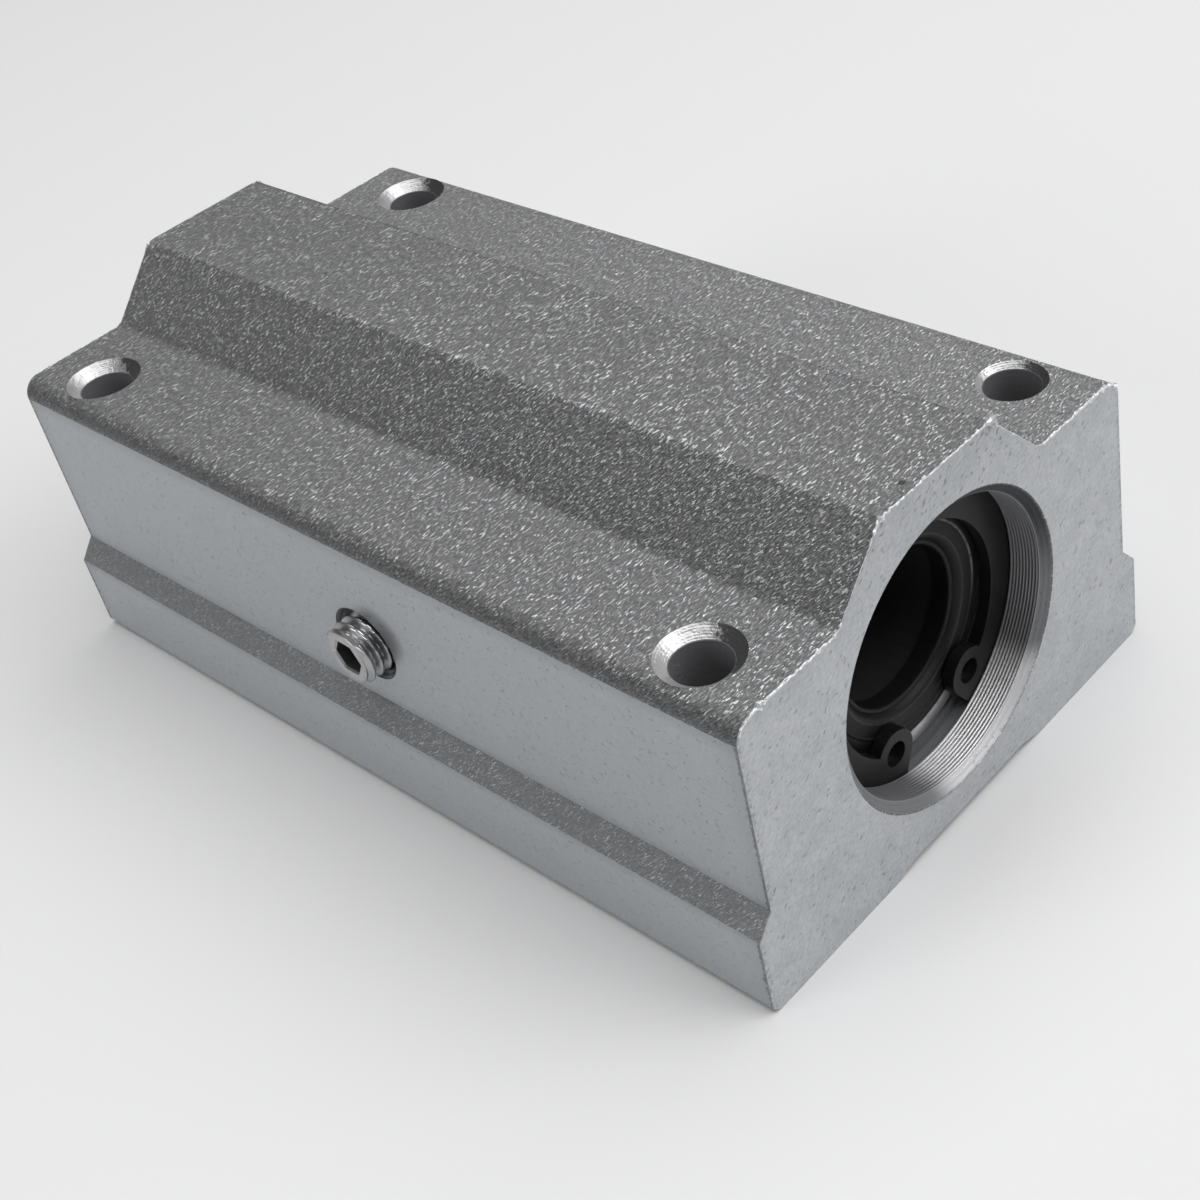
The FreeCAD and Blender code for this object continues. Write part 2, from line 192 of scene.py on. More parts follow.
class Shader:
    """One material: its node tree and the surface shader that ends it."""

    def __init__(self, name: str, **constants: Any) -> None:
        """Start a material.

        Args:
            name: The material's name.
            constants: Values that are the same all over, by the surface
                shader's socket names with _ in place of spaces.
        """
        self.material = bpy.data.materials.new(name)
        self.material.use_nodes = True
        self.tree = self.material.node_tree
        self.tree.nodes.clear()
        self.surface = self.tree.nodes.new("ShaderNodeBsdfPrincipled")
        output = self.tree.nodes.new("ShaderNodeOutputMaterial")
        self.tree.links.new(self.surface.outputs[0], output.inputs["Surface"])
        for key, value in constants.items():
            self.surface.inputs[key.replace("_", " ")].default_value = value

    def feed(self, socket: bpy.types.NodeSocket, value: Any) -> None:
        """Link or set one input.

        Args:
            socket: The input.
            value: A Value, an output socket, a number, a colour or a vector.
        """
        if isinstance(value, Value):
            value = value.socket
        if isinstance(value, bpy.types.NodeSocket):
            self.tree.links.new(value, socket)
        elif socket.type == "RGBA":
            socket.default_value = (*value, 1.0)
        else:
            socket.default_value = value

    def node(self, kind: str, settings: Dict[str, Any], sockets: Dict[Any, Any],
             output: Union[int, str] = 0) -> bpy.types.NodeSocket:
        """Add a node and return one of its outputs.

        Args:
            kind: The node's type.
            settings: Its properties, set before its sockets.
            sockets: Values or links of its inputs, by name or place.
            output: The output's name or place.

        Returns:
            The output socket.
        """
        made = self.tree.nodes.new(kind)
        for key, value in settings.items():
            setattr(made, key, value)
        for key, value in sockets.items():
            self.feed(made.inputs[key], value)
        return made.outputs[output]

    def number(self, kind: str, settings: Dict[str, Any], sockets: Dict[Any, Any],
               output: Union[int, str] = 0) -> Value:
        """Add a node and return one of its outputs as a Value."""
        return Value(self, self.node(kind, settings, sockets, output))

    def place(self) -> Tuple[Value, Value, Value]:
        """Return the surface point's X, Y and Z in the frame, in millimetres."""
        point = self.node("ShaderNodeTexCoord", {}, {}, "Object")
        scaled = self.node("ShaderNodeVectorMath", {"operation": "SCALE"},
                           {0: point, "Scale": 1 / MM})
        parts = [self.number("ShaderNodeSeparateXYZ", {}, {0: scaled}, axis)
                 for axis in "XYZ"]
        return parts[0], parts[1], parts[2]

    def vector(self, x: Number, y: Number, z: Number) -> bpy.types.NodeSocket:
        """Return three numbers as one vector."""
        return self.node("ShaderNodeCombineXYZ", {}, {"X": x, "Y": y, "Z": z})

    def noise(self, place: bpy.types.NodeSocket, scale: float, detail: float = 2.0,
              roughness: float = 0.5, distortion: float = 0.0) -> Value:
        """Return smooth noise from 0 to 1.

        Args:
            place: Where the noise is read.
            scale: Its features in one unit of place.
            detail: How many finer layers it has.
            roughness: The weight of the finer layers.
            distortion: How much it is warped.

        Returns:
            The noise.
        """
        return self.number(
            "ShaderNodeTexNoise", {"noise_dimensions": "3D"},
            {"Vector": place, "Scale": scale, "Detail": detail,
             "Roughness": roughness, "Distortion": distortion})

    def mix(self, share: Number, first: Any, second: Any) -> bpy.types.NodeSocket:
        """Return a colour between two, at a share from 0 to 1."""
        return self.node("ShaderNodeMix", {"data_type": "RGBA", "clamp_factor": True},
                         {0: share, 6: first, 7: second}, 2)

    def finish(self, colour: Any, roughness: Any, height: Any = None,
               relief: float = 0.0, metallic: Any = None) -> bpy.types.Material:
        """Link what varies to the surface shader.

        Args:
            colour: The base colour.
            roughness: The roughness.
            height: The relief's height from 0 to 1, or None for a flat surface.
            relief: The height of 1 in millimetres.
            metallic: The share of metal, where it varies.

        Returns:
            The finished material.
        """
        self.feed(self.surface.inputs["Base Color"], colour)
        self.feed(self.surface.inputs["Roughness"], roughness)
        if metallic is not None:
            self.feed(self.surface.inputs["Metallic"], metallic)
        if height is not None:
            bump = self.node("ShaderNodeBump", {},
                             {"Strength": 1.0, "Distance": relief * MM, "Height": height},
                             "Normal")
            self.feed(self.surface.inputs["Normal"], bump)
        return self.material


# Finishes
#
# A Span is the start and the end of a smooth step, in millimetres for a place and
# from 0 to 1 for a noise. Spans, shares and the noises' scales are given here.

DARK_ALUMINIUM: Colour = (0.050, 0.051, 0.053)
BRIGHT_ALUMINIUM: Colour = (0.95, 0.96, 0.97)
LAND_ALUMINIUM: Colour = (0.450, 0.470, 0.488)
LEFT_SIDE: Span = (-12.0, -11.0)


@dataclass(frozen=True)
class Spot:
    """The point being shaded, in millimetres, and the noises read there."""

    shader: Shader
    x: Value
    y: Value
    z: Value
    side: Value
    length: Value
    radius: Value
    along: Value
    across: Value
    cloud: Value
    torn: Value
    sway: Value
    fine: Value

    @classmethod
    def read(cls, shader: Shader, lean: float) -> "Spot":
        """Return a material's point and its noises.

        Side and length are the distances from the middle planes and radius is
        the one from the shaft's axis. Along and across follow the cutter's
        path. The cloud is broad, the torn noise frays edges, the sway is the
        same about zero, and the fine noise is the grain of machined faces.

        Args:
            shader: The material.
            lean: The path's angle from X towards Z in radians.

        Returns:
            The point.
        """
        x, y, z = shader.place()
        along = x * math.cos(lean) + z * math.sin(lean)
        across = z * math.cos(lean) - x * math.sin(lean)
        cloud = shader.noise(shader.vector(x, y, z), 0.55, 3.0, 0.6)
        torn = shader.noise(shader.vector(x * 3.0, y * 3.0, z * 3.0), 1.0, 2.0, 0.6)
        fine = shader.noise(shader.vector(along * 2.3, y * 3.1, across * 5.0), 1.0, 3.0, 0.65)
        return cls(shader, x, y, z, abs(x), abs(y), (x * x + z * z) ** 0.5, along, across,
                   cloud, torn, torn - 0.5, fine)


@dataclass(frozen=True)
class Zones:
    """Masks of the housing's machined zones, 1 inside each."""

    ends: Value
    lands: Value
    mouth: Value
    wall: Value
    sunk: Value
    drilled: Value
    tapped: Value


@dataclass(frozen=True)
class BlastedSkin:
    """The skin that the blast leaves on the extrusion.

    It is made of short strokes across the block, about four times as long as
    they are wide: dark dips, a middle grey and bright crests. The crests and the
    glints among them are painted highlights, gathered in patches. The rounded
    corners keep fewer of them, the right shoulder is a little brighter, and the
    hump's top has a painted highlight along its left edge, painted shade along
    its right edge, and one small dent.
    """

    tone: Colour = (0.210, 0.212, 0.215)
    tone_right: Colour = (0.262, 0.264, 0.268)
    crests: Span = (0.56, 0.66)
    glints: Span = (0.60, 0.635)
    patches: Span = (0.32, 0.60)
    dips: Span = (0.38, 0.52)
    corner_x: Span = (20.3, 20.85)
    corner_z: Span = (6.0, 8.0)
    strip_x: Span = (20.9, 21.1)
    top_z: Span = (14.0, 15.0)
    bright_line_x: float = -5.8
    bright_line: Span = (0.1, 0.45)
    dark_line_start: Span = (5.55, 5.7)
    dark_line_end: Span = (6.0, 6.3)
    slope_start: Span = (5.9, 6.3)
    slope_end: Span = (10.2, 11.4)
    slope_z: Span = (9.5, 10.5)
    right_x: Span = (10.6, 11.6)
    far_y: Span = (-12.0, 36.0)
    dent_x: float = -2.3
    dent_y: float = -38.0
    dent_square: Span = (0.03, 0.09)
    dent_z: Span = (15.0, 15.3)

    def colour(self, spot: Spot) -> Tuple[bpy.types.NodeSocket, Value, Value]:
        """Work out the skin at a point.

        Args:
            spot: The point.

        Returns:
            Its colour, the height of its strokes and its painted glints.
        """
        shader, x, y, z, side = spot.shader, spot.x, spot.y, spot.z, spot.side
        skew = y + z
        strokes = shader.noise(
            shader.vector(x * 2.5, skew * 8.6, z * 5.0), 1.0, 3.0, 0.58, 0.4)
        glints = shader.noise(
            shader.vector(x * 2.1 + 41, skew * 7.4, z * 4.2), 1.0, 2.0, 0.5, 0.5)
        patches = shader.noise(shader.vector(x, y, z), 0.8, 2.0, 0.55)
        corner = side.rise(*self.corner_x) * z.rise(*self.corner_z)
        strip = side.rise(*self.strip_x)
        top = z.rise(*self.top_z)
        # Painted highlight along the hump's left top edge, and painted shade along its right top
        # edge.
        bright_line = abs(x - self.bright_line_x).fall(*self.bright_line) * top
        painted_shade_edge = x.rise(*self.dark_line_start) * x.fall(*self.dark_line_end) * top
        slope = side.rise(*self.slope_start) * side.fall(*self.slope_end) * z.rise(*self.slope_z)
        far = y.rise(*self.far_y)
        dent = ((x - self.dent_x) ** 2 + (y - self.dent_y) ** 2).fall(*self.dent_square)
        dent = dent * z.rise(*self.dent_z)

        # Painted glints: the crests and glints are lightened towards bright aluminium, in patches.
        glint = (glints + bright_line * 0.035).rise(*self.glints)
        crest = strokes.rise(*self.crests) * 0.24 + glint * (
            patches.rise(*self.patches) * 0.85 + 0.25 + slope * 0.45)
        painted_glint = crest * (1 - corner * 0.72) * (1 - strip * 0.50) * (1 - far * 0.35) * (1 - dent)
        depth = 0.55 + slope * 0.10 - strip * 0.30 - slope * far * 0.25
        dips = strokes.fall(*self.dips) * depth
        dips = dips + corner * 0.35 + painted_shade_edge * 0.35 + dent * 0.8
        brighter = (x.rise(*self.right_x) + strip).at_most(1.0)
        skin = shader.mix(brighter, self.tone, self.tone_right)
        skin = shader.mix(strip * 0.18, skin, LAND_ALUMINIUM)
        skin = shader.mix(dips, skin, DARK_ALUMINIUM)
        return shader.mix(painted_glint, skin, BRIGHT_ALUMINIUM), strokes, painted_glint


@dataclass(frozen=True)
class MachinedFaces:
    """End faces and side lands: an even tone with clouds, fine pits and scratches."""

    end_face: Colour = (0.486, 0.504, 0.520)
    smear: Colour = (0.596, 0.612, 0.628)
    # The pits' colour, also used for the painted shadow and painted shade on the lands.
    pit: Colour = (0.12, 0.125, 0.13)
    upper_z: Span = (-6.0, 8.4)
    lower_z: Span = (-14.3, -7.7)
    pitted: Span = (0.635, 0.70)
    crowded_z: Span = (10.5, 14.0)
    scratched: Span = (0.66, 0.74)
    scratch_patches: Span = (0.42, 0.62)
    clouded: Span = (0.28, 0.72)
    dull: Span = (0.36, 0.54)
    shiny: Span = (0.58, 0.74)
    land_dull: Span = (0.40, 0.60)
    step_z: Span = (-8.0, -5.0)
    step_width: float = 1.5
    rim_x: Span = (20.4, 20.95)
    rim_torn: Span = (0.40, 0.54)
    grime_z: Span = (7.0, 15.5)
    end_band_y: Span = (38.62, 38.80)
    end_band_torn: Span = (0.30, 0.5)
    end_shade_y: Span = (36.6, 39.2)
    soft_top: Span = (0.1, 1.3)
    soft_edge: Span = (0.1, 0.9)
    screw_shadow_y: float = -3.2
    screw_shadow_z: float = 1.3
    screw_shadow_square: Span = (1.0, 8.5)
    darkest: float = 0.75

    def pits(self, spot: Spot) -> Value:
        """Return the fine pits, which crowd towards the hump's top."""
        pits = spot.shader.noise(
            spot.shader.vector(spot.along * 1.6, spot.y * 2.2, spot.across * 3.4), 1.0, 2.0, 0.55)
        return (pits + spot.z.rise(*self.crowded_z) * 0.035).rise(*self.pitted)

    def end_colour(self, spot: Spot, pits: Value) -> bpy.types.NodeSocket:
        """Return the end faces' colour, darker towards the top and along a ragged rim.

        Args:
            spot: The point.
            pits: Its pits.

        Returns:
            The colour.
        """
        shader, z = spot.shader, spot.z
        scratch = shader.noise(
            shader.vector(spot.along * 1.1, spot.y, spot.across * 7.5 + 9), 1.0, 2.0, 0.5)
        scratch = scratch.rise(*self.scratched) * spot.cloud.rise(*self.scratch_patches)
        face = shader.mix(spot.cloud.rise(*self.clouded) * 0.6, self.end_face, self.smear)
        face = shader.mix(spot.fine.fall(*self.dull) * 0.20, face, self.pit)
        face = shader.mix(spot.fine.rise(*self.shiny) * 0.22, face, BRIGHT_ALUMINIUM)
        outline = spot.side - z.fall(*self.step_z) * self.step_width
        rim = outline.rise(*self.rim_x) * spot.torn.fall(*self.rim_torn)
        darker_top_and_rim = z.rise(*self.grime_z) * 0.14 + rim * 0.4
        return shader.mix((pits + scratch * 0.7) * 0.45 + darker_top_and_rim, face, self.pit)

    def land_colour(self, spot: Spot, pits: Value) -> bpy.types.NodeSocket:
        """Return the side lands' colour.

        A ragged band beside the end face, painted shade towards each end and the
        lands' soft edges are darker, and a painted shadow of the set screw lies on
        the left land, above and in front of it.

        Args:
            spot: The point.
            pits: Its pits.

        Returns:
            The colour.
        """
        shader, y, z = spot.shader, spot.y, spot.z
        land = shader.mix(spot.cloud.rise(*self.clouded) * 0.35, LAND_ALUMINIUM, self.end_face)
        land = shader.mix(spot.fine.fall(*self.land_dull) * 0.09 + pits * 0.22, land, self.pit)
        end_band = (spot.length + spot.sway * 0.9).rise(*self.end_band_y) * (
            spot.torn.rise(*self.end_band_torn) * 0.5 + 0.2)
        end_band = end_band + spot.length.rise(*self.end_shade_y) * 0.16
        rims = abs(z - self.upper_z[1]).fall(*self.soft_top)
        rims = rims + abs(z - self.upper_z[0]).fall(*self.soft_edge)
        rims = (rims + abs(z - self.lower_z[1]).fall(*self.soft_edge)) * 0.16
        # Painted shadow of the set screw, darkening the left land above and in front of it.
        screw_shadow = ((y - self.screw_shadow_y) ** 2 + (z - self.screw_shadow_z) ** 2).fall(*self.screw_shadow_square)
        screw_shadow = screw_shadow * spot.x.fall(*LEFT_SIDE) * 0.75
        return shader.mix((end_band + rims + screw_shadow).at_most(self.darkest), land, self.pit)


@dataclass(frozen=True)
class TurnedFaces:
    """Bore and countersinks, with a painted highlight at the bore's lower right, where the cutter's
    rings catch the light, and painted shade at the top of the bore's mouth.
    """

    bore: Colour = (0.29, 0.29, 0.30)
    mouth: Colour = (0.215, 0.221, 0.230)
    painted_highlight: Colour = (0.80, 0.80, 0.81)
    countersink: Colour = (0.57, 0.57, 0.575)
    painted_highlight_x: Span = (-4.0, -1.0)
    painted_highlight_y: Span = (35.70, 35.95)
    painted_highlight_z: Span = (-8.2, -6.2)
    upper_z: Span = (-2.0, 5.0)
    middle: Span = (-0.5, 0.5)
    shadow: Span = (1.2, 1.8)
    shadow_x: float = 0.80
    shadow_y: float = -0.60

    def bore_colours(self, spot: Spot) -> Tuple[bpy.types.NodeSocket, bpy.types.NodeSocket]:
        """Work out the bore's colours at a point, with its painted highlight and painted shade.

        Args:
            spot: The point.

        Returns:
            The colours of the wall and of the bevelled mouth.
        """
        shader = spot.shader
        # Painted highlight at the bore's lower right near each end, lightened towards a pale
        # colour.
        painted_highlight = spot.z.fall(*self.painted_highlight_z) * spot.x.rise(*self.painted_highlight_x) * spot.length.rise(
            *self.painted_highlight_y)
        wall = shader.mix(painted_highlight * (0.45 + spot.torn * 0.9), self.bore, self.painted_highlight)
        # Painted shade: the upper part of the bore's mouth is darkened.
        mouth = shader.mix(spot.z.rise(*self.upper_z) * 0.85, self.mouth, DARK_ALUMINIUM)
        return wall, shader.mix(painted_highlight * 0.7, mouth, self.painted_highlight)

    def countersink_colour(self, spot: Spot) -> bpy.types.NodeSocket:
        """Return the countersinks' colour, dark on the side that the lamps miss.

        The place on that side is the offset from the hole's middle, measured
        along the shadow's direction, with a torn edge.

        Args:
            spot: The point.

        Returns:
            The colour.
        """
        off_x = spot.x - (spot.x.rise(*self.middle) * 2 - 1) * SIZES.hole_x
        off_y = spot.y - (spot.y.rise(*self.middle) * 2 - 1) * SIZES.hole_y
        shadow = off_x * self.shadow_x + off_y * self.shadow_y + spot.sway * 2.4
        return spot.shader.mix(
            shadow.rise(*self.shadow) * 0.85, self.countersink, DARK_ALUMINIUM)


@dataclass(frozen=True)
class BlockFinish:
    """Blasted extrusion with machined ends, sides and bores.

    Each zone of the housing is found from its place: the end faces, the two
    machined lands of each side, the bore, the countersinks and the drilled
    holes. All the rest keeps the blasted skin. The radii are the solids' with
    a little room, so that no edge of a zone shows beside its own face.
    """

    skin: BlastedSkin = BlastedSkin()
    machined: MachinedFaces = MachinedFaces()
    turned: TurnedFaces = TurnedFaces()
    drilled: Colour = (0.20, 0.202, 0.21)
    tapped: Colour = (0.10, 0.10, 0.105)
    end_y: float = 38.95
    upper_x: float = 20.92
    lower_x: float = 22.42
    countersink_radius: float = 3.06
    narrow_radius: float = 2.66
    hole_radius: float = 2.2
    wall_radius: float = 11.225
    mouth_radius: float = 11.93
    tapped_radius: float = 3.22
    shaded_z: Span = (-4.0, 2.0)
    edge: float = 0.04
    ragged: float = 0.22
    cutter_lean: float = 0.55
    relief: float = 0.10

    def past(self, value: Value, limit: float) -> Value:
        """Return 1 where a value is past a limit, with a short fade before it."""
        return value.rise(limit - self.edge, limit)

    def inside(self, value: Value, limit: float) -> Value:
        """Return 1 where a value is below a limit, with a short fade before it."""
        return value.fall(limit - self.edge, limit)

    def land(self, height: Value, side: Value, band: Span, limit: float) -> Value:
        """Return the mask of one machined land on both sides.

        Args:
            height: The point's height, with a torn edge.
            side: Its distance from the middle plane.
            band: The land's lower and upper edge.
            limit: The least distance from the middle plane.

        Returns:
            The mask.
        """
        low, high = band
        inner = height.rise(low - self.edge, low) * height.fall(high, high + self.edge)
        return inner * self.past(side, limit)

    def zones(self, spot: Spot) -> Zones:
        """Return the masks of the machined zones.

        Distances from the holes' axes are the roots of the sums of squares,
        and the front right countersink has a smaller reach than the others.

        Args:
            spot: The point.

        Returns:
            The masks there.
        """
        hole = ((spot.side - SIZES.hole_x) ** 2 + (spot.length - SIZES.hole_y) ** 2) ** 0.5
        tap = ((spot.y - SIZES.screw_y) ** 2 + (spot.z - SIZES.screw_z) ** 2) ** 0.5
        ends = self.past(spot.length, self.end_y) * self.past(spot.radius, self.mouth_radius)
        height = spot.z + spot.sway * self.ragged
        lands = self.land(height, spot.side, self.machined.upper_z, self.upper_x)
        lands = lands + self.land(height, spot.side, self.machined.lower_z, self.lower_x)
        mouth = (spot.radius + spot.sway * self.ragged).fall(
            self.mouth_radius - self.ragged, self.mouth_radius + self.edge)
        narrow = spot.x.rise(0.0, 1.0) * spot.y.fall(0.0, 1.0)
        reach = self.countersink_radius - narrow * (self.countersink_radius - self.narrow_radius)
        return Zones(ends=ends, lands=lands * (1 - ends), mouth=mouth,
                     wall=self.inside(spot.radius, self.wall_radius),
                     sunk=self.inside(hole - reach, 0.0),
                     drilled=self.inside(hole, self.hole_radius),
                     tapped=self.inside(tap, self.tapped_radius) * spot.x.fall(*LEFT_SIDE))

    def build(self) -> bpy.types.Material:
        """Return the material."""
        shader = Shader("blasted_and_machined_aluminium")
        spot = Spot.read(shader, self.cutter_lean)
        zones = self.zones(spot)
        skin, strokes, painted_glint = self.skin.colour(spot)
        pits = self.machined.pits(spot)
        wall, mouth = self.turned.bore_colours(spot)

        colour = shader.mix(zones.lands, skin, self.machined.land_colour(spot, pits))
        colour = shader.mix(zones.ends, colour, self.machined.end_colour(spot, pits))
        colour = shader.mix(zones.mouth, colour, mouth)
        colour = shader.mix(zones.wall, colour, wall)
        colour = shader.mix(zones.sunk, colour, self.turned.countersink_colour(spot))
        colour = shader.mix(zones.drilled, colour, self.drilled)
        colour = shader.mix(zones.tapped, colour, self.tapped)

        # The cut faces are smoother than the lands and ends, and the skin is roughest
        undrilled = 1 - zones.drilled
        cut = (zones.wall + zones.sunk + zones.tapped).at_most(1.0) * undrilled
        flat = (zones.lands + zones.ends + zones.mouth + zones.sunk + zones.tapped).at_most(1.0)
        roughness = flat * (0.46 + spot.fine * 0.12) + (1 - flat) * (0.52 - painted_glint * 0.2)
        roughness = roughness - cut * 0.16 + zones.mouth * (
            0.08 + spot.z.rise(*self.shaded_z) * 0.22)
        bump = strokes * (1 - flat) + (spot.fine * 0.12 - pits * 0.3) * (flat - cut)
        bump = bump + spot.torn * (cut * 0.16 + zones.sunk * undrilled * 0.45)
        metallic = 0.55 + cut * 0.25 - zones.drilled * 0.25
        return shader.finish(colour, roughness, bump, self.relief, metallic)


@dataclass(frozen=True)
class SteelFinish:
    """Turned or ground steel, with fine lines and a little oil in its dips."""

    name: str
    tone: Colour
    shade: Colour
    gloss: float
    line_pitch: float
    line_stretch: float = 0.4
    filmed: Span = (0.35, 0.75)
    relief: float = 0.004

    def build(self) -> bpy.types.Material:
        """Return the material."""
        shader = Shader(self.name, Metallic=1.0)
        x, y, z = shader.place()
        lines = shader.noise(
            shader.vector(x * self.line_stretch, y * (1 / self.line_pitch), z * self.line_stretch),
            1.0, 2.0, 0.6)
        film = shader.noise(shader.vector(x, y, z), 0.9, 3.0, 0.6)
        colour = shader.mix(film.rise(*self.filmed) * 0.6, self.tone, self.shade)
        roughness = self.gloss + lines * 0.12 + film * 0.06
        return shader.finish(colour, roughness, lines, self.relief)


@dataclass(frozen=True)
class ScrewFinish:
    """Bright screw steel with painted shade in its socket."""

    tone: Colour = (0.50, 0.50, 0.505)
    shade: Colour = (0.36, 0.36, 0.365)
    # Colour of the painted highlight on the upper crests.
    bright: Colour = (0.96, 0.96, 0.965)
    # Colour of the painted shade in the socket.
    dark: Colour = (0.055, 0.055, 0.057)
    socket_radius: Span = (1.47, 1.49)
    socket_x: Span = (-22.66, -22.63)
    socket_floor_x: Span = (-20.3, -20.2)
    filmed: Span = (0.35, 0.75)
    flank_radius: Span = (1.9, 2.1)
    # Band of the painted highlight on the upper crests.
    worn: Span = (2.02, 2.26)
    glint_y: float = -0.47
    glint_z: float = 0.88
    relief: float = 0.0006

    def build(self) -> bpy.types.Material:
        """Return the material: the thread's flanks are duller and its upper crests have a painted
        highlight.
        """
        shader = Shader("bright_screw_steel")
        x, y, z = shader.place()
        film = shader.noise(shader.vector(x, y, z), 1.4, 3.0, 0.6)
        off_y, off_z = y - SIZES.screw_y, z - SIZES.screw_z
        radius = (off_y ** 2 + off_z ** 2) ** 0.5
        # Painted shade: the socket is darkened and made less metallic.
        socket = radius.fall(*self.socket_radius) * x.rise(*self.socket_x) * x.fall(
            *self.socket_floor_x)
        flank = radius.rise(*self.flank_radius)
        # Painted highlight: the upper crests turned to the overhead lamp are lightened and
        # glossier.
        worn = (off_z * self.glint_z + off_y * self.glint_y).rise(*self.worn)
        colour = shader.mix((film.rise(*self.filmed) * 0.6 + flank * 0.4).at_most(1.0),
                            self.tone, self.shade)
        colour = shader.mix(worn, colour, self.bright)
        colour = shader.mix(socket, colour, self.dark)
        roughness = 0.30 + film * 0.06 - worn * 0.24 + socket * 0.25
        return shader.finish(colour, roughness, film, self.relief, 1 - socket * 0.6)


@dataclass(frozen=True)
class BlackFinish:
    """Dark pieces: coated spring steel or moulded resin."""

    name: str
    tone: Colour
    worn: Colour
    metal: float
    gloss: float
    grain: float
    shine: float = 0.5
    patchy: Span = (0.5, 0.8)

    def build(self) -> bpy.types.Material:
        """Return the material."""
        shader = Shader(self.name, Metallic=self.metal, Specular_IOR_Level=self.shine)
        x, y, z = shader.place()
        place = shader.vector(x, y, z)
        wear = shader.noise(place, 1.3, 4.0, 0.65)
        grain = shader.noise(place, 9.0, 2.0, 0.5)
        colour = shader.mix(wear.rise(*self.patchy) * 0.5, self.tone, self.worn)
        roughness = self.gloss + wear * 0.16
        return shader.finish(colour, roughness, grain, self.grain)


@dataclass(frozen=True)
class SealFinish:
    """Black seal rubber whose lip edge is lighter and whose outer bead has a painted highlight.

    The painted highlight lies on the bead's upper right part only.
    """

    tone: Colour = (0.006, 0.006, 0.0065)
    worn: Colour = (0.014, 0.014, 0.015)
    lip_and_sheen_tone: Colour = (0.30, 0.30, 0.31)
    patchy: Span = (0.5, 0.8)
    wear_gate: Span = (0.25, 0.60)
    lip_radius: float = 7.0
    lip_fade: Span = (0.02, 0.12)
    bead_radius: float = 8.1
    bead_fade: Span = (0.04, 0.16)
    sheen_x: Span = (0.0, 6.0)
    sheen_z: Span = (-3.0, 1.0)
    relief: float = 0.004

    def build(self) -> bpy.types.Material:
        """Return the material."""
        shader = Shader("black_seal_rubber", Specular_IOR_Level=0.25)
        x, y, z = shader.place()
        radius = (x * x + z * z) ** 0.5
        wear = shader.noise(shader.vector(x, y, z), 1.3, 4.0, 0.65)
        lip = abs(radius - self.lip_radius).fall(*self.lip_fade) * 0.10
        # Painted highlight on the bead's upper right part.
        bead = abs(radius - self.bead_radius).fall(*self.bead_fade)
        bead = bead * x.rise(*self.sheen_x) * z.rise(*self.sheen_z) * 0.50
        colour = shader.mix(wear.rise(*self.patchy) * 0.5, self.tone, self.worn)
        colour = shader.mix((lip + bead) * wear.rise(*self.wear_gate), colour, self.lip_and_sheen_tone)
        return shader.finish(colour, 0.42 + wear * 0.16, wear, self.relief)


@dataclass(frozen=True)
class BurrFinish:
    """Freshly torn aluminium, brighter than the faces beside it."""

    bright: Colour = (0.95, 0.955, 0.96)
    dull: Colour = (0.60, 0.605, 0.61)
    brightened: Span = (0.42, 0.60)
    relief: float = 0.05

    def build(self) -> bpy.types.Material:
        """Return the material."""
        shader = Shader("torn_aluminium", Metallic=0.55)
        x, y, z = shader.place()
        grain = shader.noise(shader.vector(x, y, z), 3.2, 3.0, 0.65)
        colour = shader.mix(grain.rise(*self.brightened), self.dull, self.bright)
        return shader.finish(colour, 0.30 + grain * 0.2, grain, self.relief)


@dataclass
class Finishes:
    """Every finish of the block, built once."""

    block: bpy.types.Material = field(default_factory=lambda: BlockFinish().build())
    burr: bpy.types.Material = field(default_factory=lambda: BurrFinish().build())
    screw: bpy.types.Material = field(default_factory=lambda: ScrewFinish().build())
    sleeve: bpy.types.Material = field(default_factory=lambda: SteelFinish(
        "ground_bearing_steel", (0.60, 0.60, 0.61), (0.42, 0.42, 0.43), 0.24, 0.05).build())
    balls: bpy.types.Material = field(default_factory=lambda: SteelFinish(
        "polished_balls", (0.76, 0.76, 0.77), (0.66, 0.66, 0.67), 0.03, 0.8).build())
    ring: bpy.types.Material = field(default_factory=lambda: BlackFinish(
        "black_coated_spring_steel", (0.010, 0.010, 0.011), (0.034, 0.032, 0.035),
        0.35, 0.34, 0.010, 0.4).build())
    cage: bpy.types.Material = field(default_factory=lambda: BlackFinish(
        "dark_moulded_resin", (0.020, 0.020, 0.021), (0.032, 0.032, 0.033),
        0.0, 0.45, 0.006).build())
    seal: bpy.types.Material = field(default_factory=lambda: SealFinish().build())


# Meshes


def grid_faces(rows: int, columns: int) -> np.ndarray:
    """Return the four corners of every face of a grid closed along its columns.

    Args:
        rows: Rows of points.
        columns: Points in a row, whose last joins its first.

    Returns:
        One row of four point numbers for each face.
    """
    row, column = np.meshgrid(np.arange(rows - 1), np.arange(columns), indexing="ij")
    after = (column + 1) % columns
    corners = [row * columns + column, (row + 1) * columns + column,
               (row + 1) * columns + after, row * columns + after]
    return np.stack(corners, axis=-1).reshape(-1, 4)


